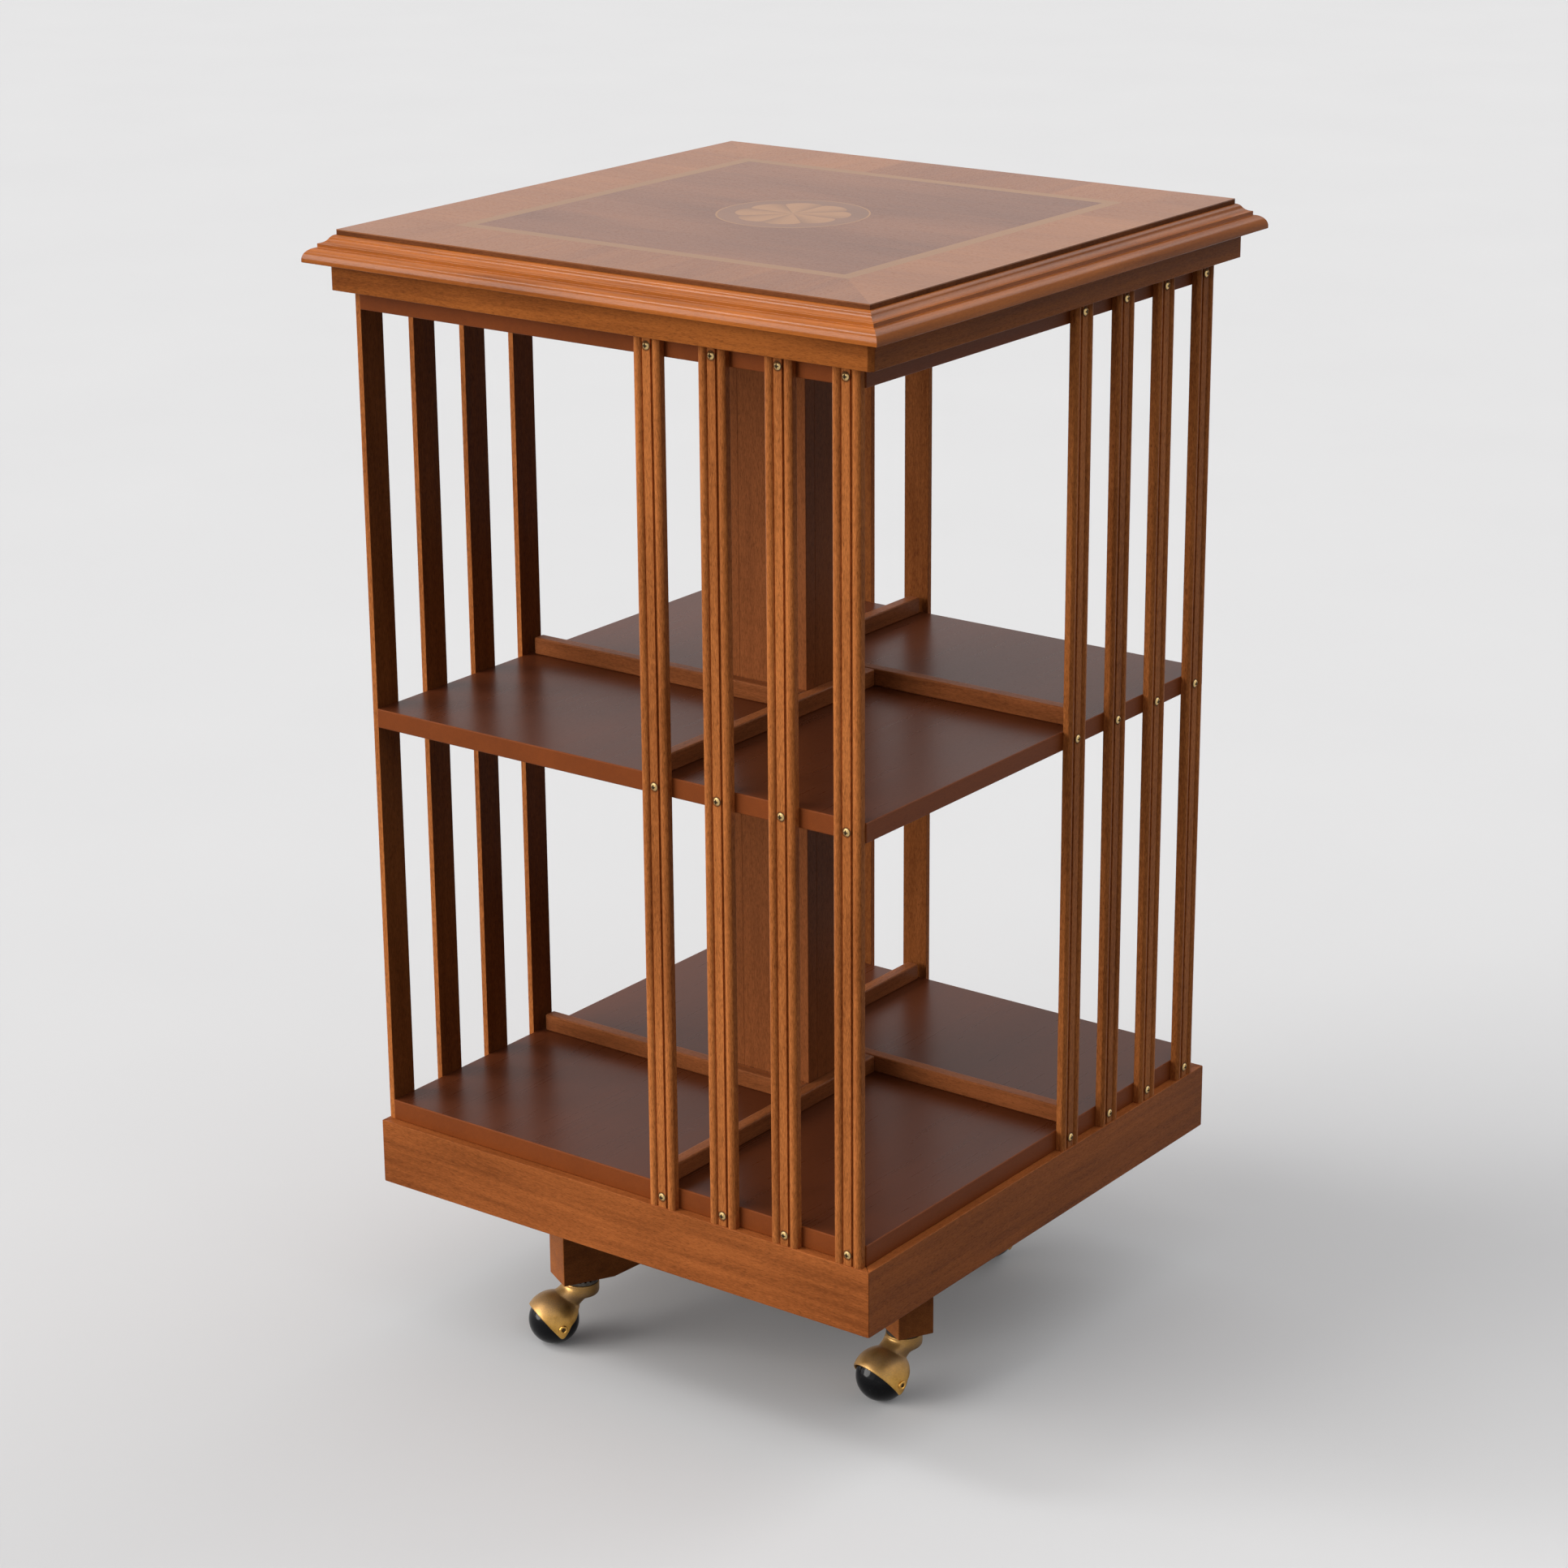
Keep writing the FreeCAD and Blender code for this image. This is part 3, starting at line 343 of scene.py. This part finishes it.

# The rivets are coloured very dark, which paints in the shade of the hollow inside each eyelet.
RIVET_DARK = (0.05, 0.032, 0.015, 1)
RIVET_LIGHT = (0.12, 0.075, 0.03, 1)
EYELET_RADIUS = 0.0024
EYELET_RISE = 0.0010
EYELET_SEGMENTS = 12
EYELET_STEPS = 32


def add_eyelet(shape, level):
    """A ring of round section about the Z axis, its middle at a level."""
    rows = []
    for step in range(EYELET_STEPS):
        round_axis = math.tau * step / EYELET_STEPS
        row = []
        for segment in range(EYELET_SEGMENTS):
            round_section = math.tau * segment / EYELET_SEGMENTS
            reach = EYELET_RADIUS + EYELET_RISE * math.cos(round_section)
            row.append(shape.verts.new((reach * math.cos(round_axis),
                                        reach * math.sin(round_axis),
                                        level + EYELET_RISE * math.sin(round_section))))
        rows.append(row)
    for row, next_row in zip(rows, rows[1:] + rows[:1]):
        for number in range(EYELET_SEGMENTS):
            shape.faces.new((next_row[number - 1], next_row[number], row[number],
                             row[number - 1]))


# very dark brass for the rivets: painted shade of the eyelets' hollow
rivet_hollow_shade = metal("rivet_brass_hollow_shade", RIVET_DARK, RIVET_LIGHT, rough=0.5, speckle=0.4)
joints = {joint["name"]: joint for joint in frame["joints"]}
for side in SIDES:
    axle = joints[f"caster_roll_{side}"]
    centre = Vector(axle["pos_m"])
    add_piece(f"hood_{side}", cast(f"caster_hood_{side}", centre), [hood_brass],
              f"caster_fork_{side}", "hood_brass", f"caster_hood_{side}")
    dress(rivet_hollow_shade, f"caster_pins_{side}")

    # rolled eyelets round the ends of the axle rivet
    shape = bmesh.new()
    for level in (HOOD_OUTSIDE, -HOOD_OUTSIDE):
        add_eyelet(shape, level)
    turn = Vector((0, 0, 1)).rotation_difference(Vector(axle["axis"])).to_matrix()
    bmesh.ops.transform(shape, verts=shape.verts,
                        matrix=Matrix.Translation(centre) @ turn.to_4x4())
    add_piece(f"eyelets_{side}", shape, [hood_brass], f"caster_fork_{side}", "hood_brass")


# ------------------------------------------------------------------ caster balls
# Turned black balls that roll on the axle, polished but scuffed where they run.
BALL_BLACK = (0.004, 0.004, 0.005, 1)
BALL_SCUFF = (0.032, 0.031, 0.031, 1)

ball_black, shader, spot = new_finish("ball_black", {"Specular IOR Level": 0.15})
scuff = spot.noise(420.0, detail=4.0, rough=0.7)
rubbed = scuff.ramp(0.60, 0.80)
feed(shader, {"Base Color": rubbed.mixed(BALL_BLACK, BALL_SCUFF),
              "Roughness": 0.10 + rubbed * 0.35,
              "Normal": relief(scuff, 0.15)})
dress(ball_black, *[f"caster_ball_{side}" for side in SIDES])


# ------------------------------------------------------------------ spindle and bearing
# A steel spindle through the cross and the middle shelf, with nuts and washers, a flanged
# brass bush in the shelf, and a ball bearing between grooved plates under the bottom board.
BEARING_DARK = (0.30, 0.29, 0.28, 1)
BEARING_LIGHT = (0.52, 0.51, 0.50, 1)
BUSH_DARK = (0.36, 0.23, 0.08, 1)
BUSH_LIGHT = (0.62, 0.43, 0.17, 1)
dress(metal("bearing_steel", BEARING_DARK, BEARING_LIGHT, rough=0.30, speckle=0.25),
      "spindle", "spindle_nuts_and_washers", "lower_race", "upper_race", "ball_cage",
      "bearing_balls")
dress(metal("bush_brass", BUSH_DARK, BUSH_LIGHT, rough=0.32, speckle=0.25), "spindle_bush")


# ------------------------------------------------------------------ plinth
# Four mitred mahogany rails standing just proud of the slats, with eased edges.
PLINTH_EASING = 0.0006
PLINTH_DARK = (0.195, 0.054, 0.013, 1)
PLINTH_LIGHT = (0.410, 0.121, 0.031, 1)
plinth_wood = {axis: mahogany(f"plinth_mahogany_{axis.lower()}", PLINTH_DARK,
                              PLINTH_LIGHT, axis) for axis in "XY"}
for number, side in enumerate(SIDES):
    shape = merged_copy(f"plinth_rail_{side}")
    ease(shape, PLINTH_EASING)
    add_piece(f"plinth_{side}", shape, [plinth_wood["XY"[number % 2]]], "case", "plinth",
              f"plinth_rail_{side}")


# ------------------------------------------------------------------ shelves
# Solid mahogany boards, grain from front to back, planed square with eased edges. The
# bottom board and the middle shelf are bored for the spindle and its bush.
BOARD_EASING = 0.0009
BOARD_HALF = 0.213
BOARD_DARK = (0.062, 0.016, 0.006, 1)
BOARD_LIGHT = (0.135, 0.034, 0.011, 1)
BOARD_EDGE_DARK = (0.120, 0.028, 0.006, 1)
BOARD_EDGE_LIGHT = (0.260, 0.062, 0.012, 1)
board_wood, shader, spot = new_finish("board_mahogany", {"Specular IOR Level": 0.14})
tone, ribbon, fibre, pores = wood_layers(spot, "Y")
x, y = spot.parts()[:2]
edge = x.maths("MAXIMUM", abs(x), abs(y)).over(BOARD_HALF - BOARD_EASING)
share = swung((tone, ribbon, fibre), (0.6, 0.25, 0.5))
colour = edge.mixed(share.mixed(BOARD_DARK, BOARD_LIGHT),
                    share.mixed(BOARD_EDGE_DARK, BOARD_EDGE_LIGHT))
feed(shader, {"Base Color": (pores * 0.18).mixed(colour, PORE_AND_SHADE_BROWN),
              "Roughness": 0.28 + ribbon.swing(0.04) + pores * 0.06 + edge * 0.2,
              "Normal": relief(fibre * 0.3 - pores * 0.4, 0.12)})


def add_block(shape, low, high):
    """A box between two corners."""
    low, high = Vector(low), Vector(high)
    verts = bmesh.ops.create_cube(shape, size=1)["verts"]
    bmesh.ops.scale(shape, vec=high - low, verts=verts)
    bmesh.ops.translate(shape, vec=(low + high) / 2, verts=verts)


def board(name, node):
    """A board of a CAD node's size with rounded edges."""
    shape = bmesh.new()
    add_block(shape, *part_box(node))
    ease(shape, BOARD_EASING, segments=3)
    add_piece(name, shape, [board_wood], "case", "boards", node)


board("bottom_shelf", "bottom_board")
board("middle_shelf", "mid_shelf")


# ------------------------------------------------------------------ columns
# Each tier has a hollow square post of four boards, each lapped past the edge of the next.
COLUMN_HALF = 0.035
COLUMN_BOARD = 0.011
COLUMN_EASING = 0.0004
COLUMN_DARK = (0.165, 0.050, 0.016, 1)
COLUMN_LIGHT = (0.340, 0.108, 0.035, 1)
column_wood = mahogany("column_mahogany", COLUMN_DARK, COLUMN_LIGHT, "Z", figure=0.45,
                       pored=0.45)


def add_quarter(shape, low, high, quarters):
    """A box between two corners, turned about the spindle by quarters. Returns its verts."""
    before = set(shape.verts)
    add_block(shape, low, high)
    verts = list(set(shape.verts) - before)
    bmesh.ops.rotate(shape, verts=verts, cent=(0, 0, 0),
                     matrix=Matrix.Rotation(math.radians(90 * quarters), 3, "Z"))
    return verts


for tier in ("lower", "upper"):
    low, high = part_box(f"{tier}_column")
    shape = bmesh.new()
    for quarter in range(4):
        add_quarter(shape, (COLUMN_BOARD - COLUMN_HALF, -COLUMN_HALF, low.z),
                    (COLUMN_HALF, COLUMN_BOARD - COLUMN_HALF, high.z), quarter)
    ease(shape, COLUMN_EASING)
    add_piece(f"{tier}_post", shape, [column_wood], "case", "column", f"{tier}_column")


# ------------------------------------------------------------------ book stops
# Square strips with rounded tops, glued to the boards from the column out to the edge, so
# that the books of one face don't slide through to the next.
STOP_WIDTH = 0.010
STOP_REACH = 0.208
STOP_EASING = 0.0013
stop_wood = {axis: mahogany(f"stop_mahogany_{axis.lower()}", COLUMN_DARK, COLUMN_LIGHT, axis)
             for axis in "XY"}
for tier in ("lower", "upper"):
    low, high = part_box(f"{tier}_book_stops")
    shape = bmesh.new()
    for quarter in range(4):
        made = add_quarter(shape, (-STOP_REACH, -COLUMN_HALF - STOP_WIDTH, low.z),
                           (COLUMN_HALF, -COLUMN_HALF, high.z), quarter)
        for face in {face for vert in made for face in vert.link_faces}:
            face.material_index = quarter % 2
    ease(shape, STOP_EASING, segments=3)
    add_piece(f"{tier}_stops", shape, [stop_wood["X"], stop_wood["Y"]], "case", "book_stops",
              f"{tier}_book_stops")


# ------------------------------------------------------------------ slats
# Sixteen mahogany strips with a bead along each edge, run past the three boards, their
# arrises just taken off. Painted shade darkens the quirks and the inner faces, and the wood
# is darker in a ring round each screw.
SLAT_EASING = 0.0003
SLAT_DARK = (0.240, 0.070, 0.017, 1)
SLAT_LIGHT = (0.530, 0.175, 0.046, 1)
SLATS_PER_SIDE = 4
SLAT_OFFSET = 0.042
SLAT_PITCH = 0.053
RIGHT_SLATS_SHIFT = -0.008
QUIRK_PLACE = 0.0049
QUIRK_HALF = 0.0003
QUIRK_FADE = 0.0004
QUIRKS_OUTSIDE = 0.2145
# how far from a screw's middle the wood is darkened in a ring
SCREW_RING_REACH = (0.0031, 0.0042)
SLAT_BACK = 0.2132
SCREW_LEVELS = (0.17075, 0.473, 0.77475)


def slat_places(spot):
    """How far a spot is from the middle of its slat, from its nearest screw, and outwards."""
    x, y, z = spot.parts()
    sideways = (abs(x) - abs(y)).over(0.0)
    out = sideways * x + (1 - sideways) * y
    along = abs(sideways * y + (1 - sideways) * x)
    shift = sideways * x.over(0.0) * RIGHT_SLATS_SHIFT
    step = (along - SLAT_OFFSET - shift) / SLAT_PITCH + 0.5
    across = abs(step - step.maths("FLOOR", step) - 0.5) * SLAT_PITCH
    drop = abs(z - SCREW_LEVELS[0])
    for level in SCREW_LEVELS[1:]:
        drop = drop.maths("MINIMUM", drop, abs(z - level))
    radius = across.maths("SQRT", across * across + drop * drop)
    return across, radius, abs(out)


slat_wood, shader, spot = new_finish("slat_mahogany", {"Specular IOR Level": 0.04})
tone, ribbon, fibre, pores = wood_layers(spot, "Z")
across, radius, out = slat_places(spot)
# painted shade along the quirks beside the beads, on the outer faces
quirk_shade = 1 - abs(across - QUIRK_PLACE).ramp(QUIRK_HALF, QUIRK_HALF + QUIRK_FADE)
quirk_shade = quirk_shade * out.over(QUIRKS_OUTSIDE) * 0.15
# a darker ring in the wood round each screw head
ringed = 1 - radius.ramp(*SCREW_RING_REACH)
quirk_shade_and_screw_ring = quirk_shade.maths("MAXIMUM", quirk_shade, ringed) * 0.75
# painted shade on the inner faces of the slats
painted_inner_shade = (1 - out.over(SLAT_BACK)) * 0.5
share = swung((tone, ribbon, fibre), (1.4, 0.8, 2.0))
colour = (pores * 0.5).mixed(share.mixed(SLAT_DARK, SLAT_LIGHT), PORE_AND_SHADE_BROWN)
feed(shader, {"Base Color": quirk_shade_and_screw_ring.maths("MAXIMUM", quirk_shade_and_screw_ring, painted_inner_shade).mixed(colour, PORE_AND_SHADE_BROWN),
              "Roughness": 0.32 + ribbon.swing(0.16) + pores * 0.15 + quirk_shade_and_screw_ring * 0.3,
              "Normal": relief(fibre * 0.35 - pores * 0.6, 0.25)})
for side in SIDES:
    for number in range(1, SLATS_PER_SIDE + 1):
        shape = merged_copy(f"{side}_slat_{number}")
        ease(shape, SLAT_EASING)
        add_piece(f"slat_{side}_{number}", shape, [slat_wood], "case", "slats",
                  f"{side}_slat_{number}")


# ------------------------------------------------------------------ slat screws
# Round-head brass screws with a crossed recess, three to a slat. The recess and the middle of
# each head are dulled and darkened with painted shade, and the heads also darken towards the
# rim and in random specks.
SCREW_BRASS = (0.64, 0.44, 0.19, 1)
# the dark of the heads' specks and rim, and of the painted shade in the recess
SCREW_TARNISH_AND_SHADE = (0.040, 0.025, 0.012, 1)
CROSS_DEPTH = (0.2190, 0.2193)
CROSS_REACH = (0.0019, 0.0021)
CROSS_MIDDLE = (0.0010, 0.0014)
HEAD_RIM = (0.0025, 0.0029)
screw_brass, shader, spot = new_finish("screw_brass", {})
across, radius, out = slat_places(spot)
grit = spot.noise(1500.0, detail=2.0, rough=0.6)
# painted shade in the crossed recess and the middle of each head
recess = (1 - out.ramp(*CROSS_DEPTH)) * (1 - radius.ramp(*CROSS_REACH))
recess = recess.maths("MAXIMUM", recess, 1 - radius.ramp(*CROSS_MIDDLE))
# painted shade of the recess, with darkening towards the rim and random specks
tarnish_and_recess_shade = (recess + radius.ramp(*HEAD_RIM) + grit.swing(0.5)).ramp(0.0, 1.0)
feed(shader, {"Base Color": tarnish_and_recess_shade.mixed(SCREW_BRASS, SCREW_TARNISH_AND_SHADE),
              "Metallic": 1.0 - tarnish_and_recess_shade * 0.4,
              "Roughness": 0.28 + tarnish_and_recess_shade * 0.3,
              "Normal": relief(grit, 0.15)})
dress(screw_brass, "slat_screws")


# ------------------------------------------------------------------ sub-top and frieze
# The roof of the upper bays, and over it four mitred frieze rails whose corners are taken
# off. Both mahogany; the frieze is the warmer and redder.
FRIEZE_EASING = 0.0005
FRIEZE_DARK = (0.175, 0.048, 0.010, 1)
FRIEZE_LIGHT = (0.390, 0.117, 0.024, 1)
board("upper_bay_roof", "sub_top")
frieze_wood = {axis: mahogany(f"frieze_mahogany_{axis.lower()}", FRIEZE_DARK,
                              FRIEZE_LIGHT, axis) for axis in "XY"}
shape = merged_copy("frieze_rails")
for face in shape.faces:
    middle = face.calc_center_median()
    face.material_index = int(abs(middle.x) > abs(middle.y))
ease(shape, FRIEZE_EASING)
add_piece("frieze", shape, [frieze_wood["X"], frieze_wood["Y"]], "case", "frieze",
          "frieze_rails")


# ------------------------------------------------------------------ inlaid top
# A core board veneered in mahogany: a plain field, a light string, crossbanding laid in
# short lengths with its grain outwards, and a round shell inlay of eight shaded petals.
TOP_DARK = (0.130, 0.044, 0.019, 1)
TOP_LIGHT = (0.245, 0.093, 0.040, 1)
BAND_DARK = (0.200, 0.067, 0.022, 1)
BAND_LIGHT = (0.360, 0.138, 0.047, 1)
STRING_DARK = (0.23, 0.104, 0.037, 1)
STRING_LIGHT = (0.32, 0.150, 0.055, 1)
TOP_EDGE_DARK = (0.085, 0.027, 0.010, 1)
TOP_EDGE_LIGHT = (0.19, 0.062, 0.022, 1)
LEAF_JOINTS_LOW = (-0.033, 0.112)
LEAF_JOINTS_HIGH = (-0.057, 0.106)
PETALS = 8
PETAL_TIP = 0.0345
PETAL_BULGE = 0.0065
PETAL_SOFTNESS = 0.0003
SHELL_LINE = (0.0526, 0.0538)
PETAL_LIGHT = (0.34, 0.160, 0.066, 1)
PETAL_SCORCHED = (0.17, 0.068, 0.028, 1)
GROUND_DARK = (0.15, 0.062, 0.030, 1)
GROUND_LIGHT = (0.25, 0.108, 0.054, 1)
POLISH = {"Coat Weight": 0.22, "Coat Roughness": 0.16, "Specular IOR Level": 0.22}


def polished(shader, colour, fibre, pores):
    """Give a veneer's shader its colour and the skin of its polish."""
    feed(shader, {"Base Color": colour,
                  "Roughness": 0.38 + pores * 0.15 + fibre.swing(0.1),
                  "Normal": relief(fibre * 0.4 - pores * 0.5, 0.2)})


dress(mahogany("top_edge_mahogany", TOP_EDGE_DARK, TOP_EDGE_LIGHT, "X", rough=0.7), "top_panel")

field, shader, spot = new_finish("field_veneer", POLISH)
tone, ribbon, fibre, pores = wood_layers(spot, "X", seed=3.0)
share = swung((tone, ribbon, fibre), (1.6, 0.5, 0.5))
polished(shader, (pores * 0.15).mixed(share.mixed(TOP_DARK, TOP_LIGHT), PORE_AND_SHADE_BROWN),
         fibre, pores)
dress(field, "field_veneer")


def strip_coordinates(spot):
    """Coordinates with the way out of each of the four strips as Y, and which pair it is of."""
    x, y, z = spot.parts()
    sideways = (abs(x) - abs(y)).over(0.0)
    out = sideways * x + (1 - sideways) * y
    along = sideways * y + (1 - sideways) * x
    turned = out.node("ShaderNodeCombineXYZ", {}, {0: along, 1: out, 2: z})
    return turned, along, out, sideways


# each strip is laid in three leaves, and each leaf has a tone of its own
band, shader, spot = new_finish("crossband_veneer", POLISH)
turned, along, out, sideways = strip_coordinates(spot)
tone, ribbon, fibre, pores = wood_layers(turned, "Y", seed=7.0)
far = out.over(0.0)
leaf = sum(along.over(joint) for joint in LEAF_JOINTS_LOW) * (1 - far)
leaf = leaf + sum(along.over(joint) for joint in LEAF_JOINTS_HIGH) * far
leaf = leaf + sideways * 7.0 + far * 17.0
corner_leaf = along.over(LEAF_JOINTS_LOW[1]) * (1 - far) * (1 - sideways)
leaf_tone = leaf.node("ShaderNodeTexWhiteNoise", {"noise_dimensions": "1D"}, {"W": leaf},
                      "Value")
share = swung((tone, ribbon, fibre, leaf_tone), (1.0, 0.5, 0.5, 0.4),
              middle=0.40 + sideways * 0.08 - corner_leaf * 0.35)
polished(shader, (pores * 0.15).mixed(share.mixed(BAND_DARK, BAND_LIGHT), PORE_AND_SHADE_BROWN),
         fibre, pores)
dress(band, "crossbanding")

string, shader, spot = new_finish("stringing_veneer", POLISH)
turned = strip_coordinates(spot)[0]
tone, _, fibre, pores = wood_layers(turned, "X", seed=11.0)
share = swung((tone, fibre), (0.9, 0.9))
polished(shader, share.mixed(STRING_DARK, STRING_LIGHT), fibre, pores * 0.3)
dress(string, "stringing")

shell, shader, spot = new_finish("shell_inlay", POLISH)
x, y = spot.parts()[:2]
radius = x.maths("SQRT", x * x + y * y)
angle = y.maths("ARCTAN2", y, x)
petal = angle.maths("FRACT", angle * (PETALS / math.tau) + PETALS)
bulge = petal.maths("SINE", petal * math.pi)
tip = PETAL_TIP + bulge.maths("SQRT", bulge) * PETAL_BULGE
in_petal = (tip - radius).ramp(0.0, PETAL_SOFTNESS)
line_start, line_end = SHELL_LINE
ring = radius.over(line_start) * (1 - radius.over(line_end))
tone, _, fibre, pores = wood_layers(spot, "X", seed=5.0)
scorch = petal.maths("POWER", 1 - petal, 3.0) * 0.8
petal_colour = (scorch + fibre.swing(0.3)).ramp(0.0, 1.0).mixed(PETAL_LIGHT, PETAL_SCORCHED)
ground = swung((tone, fibre), (1.2, 0.6)).mixed(GROUND_DARK, GROUND_LIGHT)
colour = ring.mixed(in_petal.mixed(ground, petal_colour), STRING_LIGHT)
polished(shader, colour, fibre, pores * 0.3)
dress(shell, "fan_medallion")


# ------------------------------------------------------------------ edge mouldings
# An ogee over a bullnose in solid mahogany, mitred and glued round the top board.
MOULDING_DARK = (0.195, 0.048, 0.006, 1)
MOULDING_LIGHT = (0.470, 0.135, 0.022, 1)
MOULDING_EASING = 0.00035
moulding_wood = {axis: mahogany(f"moulding_mahogany_{axis.lower()}", MOULDING_DARK,
                                MOULDING_LIGHT, axis, rough=0.14, shine=0.11, pored=0.18,
                                bumpy=0.03) for axis in "XY"}
for number, side in enumerate(SIDES):
    shape = merged_copy(f"edge_moulding_{side}")
    ease(shape, MOULDING_EASING)
    add_piece(f"moulding_{side}", shape, [moulding_wood["XY"[number % 2]]], "case", "moulding",
              f"edge_moulding_{side}")


# ------------------------------------------------------------------ studio
# A plain pale floor without an edge in sight, a large soft light from the left and another
# overhead, a small one high at the left and a faint one behind. The light from the left is
# split in three, so that its glints fall on casters, slats and mouldings, not on the top.
FLOOR_HALF = 60.0
FLOOR_SEEN = (0.615, 0.615, 0.620, 1)
FLOOR_SEEN_WORN = (0.590, 0.590, 0.597, 1)
FLOOR_GLOW = (0.80, 0.80, 0.82, 1)
FLOOR_UNSEEN = (0.16, 0.16, 0.16, 1)
UNLIT = (0, 0, 0, 1)
AIR_SEEN = (0.785, 0.785, 0.79, 1)
AIR_UNSEEN = (0.07, 0.07, 0.071, 1)
NEUTRAL = (1.0, 1.0, 1.0)
WARM = (1.0, 0.98, 0.95)

shape = bmesh.new()
bmesh.ops.create_grid(shape, x_segments=1, y_segments=1, size=FLOOR_HALF)
mesh = bpy.data.meshes.new("studio_floor")
shape.to_mesh(mesh)
shape.free()
floor = bpy.data.objects.new("studio_floor", mesh)
bpy.context.scene.collection.objects.link(floor)


def seen_directly(tree):
    """1 for the rays that show the background: camera, glossy and transmission rays."""
    rays = tree.nodes.new("ShaderNodeLightPath")
    seen = Wire(rays.outputs["Is Camera Ray"]) + Wire(rays.outputs["Is Glossy Ray"])
    seen = seen + Wire(rays.outputs["Is Transmission Ray"])
    return seen.maths("MINIMUM", seen, 1.0)


pale, shader, spot = new_finish("pale_floor", {
    "Roughness": 1.0, "Specular IOR Level": 0.0, "Emission Strength": 0.06})
seen = seen_directly(pale.node_tree)
mottle = spot.noise(3.0, detail=3.0)
feed(shader, {"Base Color": seen.mixed(FLOOR_UNSEEN, mottle.mixed(FLOOR_SEEN_WORN, FLOOR_SEEN)),
              "Emission Color": seen.mixed(UNLIT, FLOOR_GLOW)})
mesh.materials.append(pale)

world = bpy.data.worlds.new("studio")
bpy.context.scene.world = world
world.use_nodes = True
air = seen_directly(world.node_tree).mixed(AIR_UNSEEN, AIR_SEEN)
world.node_tree.links.new(air.socket, world.node_tree.nodes["Background"].inputs["Color"])


def soft_lamp(name, towards, strength, spread, colour=NEUTRAL):
    """A distant lamp that stands in the given direction and is as wide as spread in degrees."""
    light = bpy.data.lights.new(name, "SUN")
    light.energy = strength
    light.angle = math.radians(spread)
    light.color = colour
    lamp = bpy.data.objects.new(name, light)
    lamp.rotation_mode = "QUATERNION"
    lamp.rotation_quaternion = Vector(towards).to_track_quat("Z", "Y")
    bpy.context.scene.collection.objects.link(lamp)
    return lamp


soft_lamp("overhead_lamp", (0.10, 0.10, 1.0), 1.9, 110)
left_lamp = soft_lamp("left_lamp", (-0.63, -0.72, 0.22), 3.05, 46, WARM)
left_lamp.visible_glossy = False
glint_lamp = soft_lamp("left_glint_lamp", (-0.63, -0.72, 0.32), 2.6, 34, WARM)
glint_lamp.visible_diffuse = False
soft_lamp("left_sheen_lamp", (-0.60, -0.70, 0.40), 0.95, 84, WARM)
soft_lamp("high_left_lamp", (-0.565, -0.30, 0.74), 0.5, 12)
soft_lamp("back_lamp", (0.20, 0.68, 0.70), 0.4, 34)
struck = bpy.data.collections.new("struck_by_glint")
for side in SIDES:
    for name in (f"moulding_{side}", f"hood_{side}", f"eyelets_{side}",
                 *(f"slat_{side}_{number}" for number in range(1, SLATS_PER_SIDE + 1))):
        struck.objects.link(bpy.data.objects[name])
    struck.objects.link(frame["nodes"][f"caster_ball_{side}"])
glint_lamp.light_linking.receiver_collection = struck


# ------------------------------------------------------------------ camera and view
# From a little above, the nearest corner between the front face and the right-hand face.
CAMERA_PLACE = (1.5701, -2.1281, 1.3039)
CAMERA_SENSOR = 36.0
CAMERA_LENS = 88.157
CAMERA_YAW = math.radians(36.62)
CAMERA_PITCH = math.radians(18.745)
CAMERA_ROLL = math.radians(-0.433)
camera = bpy.data.objects.new("camera", bpy.data.cameras.new("camera"))
bpy.context.scene.collection.objects.link(camera)
camera.data.sensor_width = CAMERA_SENSOR
camera.data.lens = CAMERA_LENS
camera.matrix_world = (Matrix.Translation(CAMERA_PLACE)
                       @ Euler((0, 0, CAMERA_YAW)).to_matrix().to_4x4()
                       @ Euler((math.radians(90) - CAMERA_PITCH, 0, 0)).to_matrix().to_4x4()
                       @ Euler((0, 0, CAMERA_ROLL)).to_matrix().to_4x4())
bpy.context.scene.camera = camera
bpy.context.scene.view_settings.view_transform = "Standard"
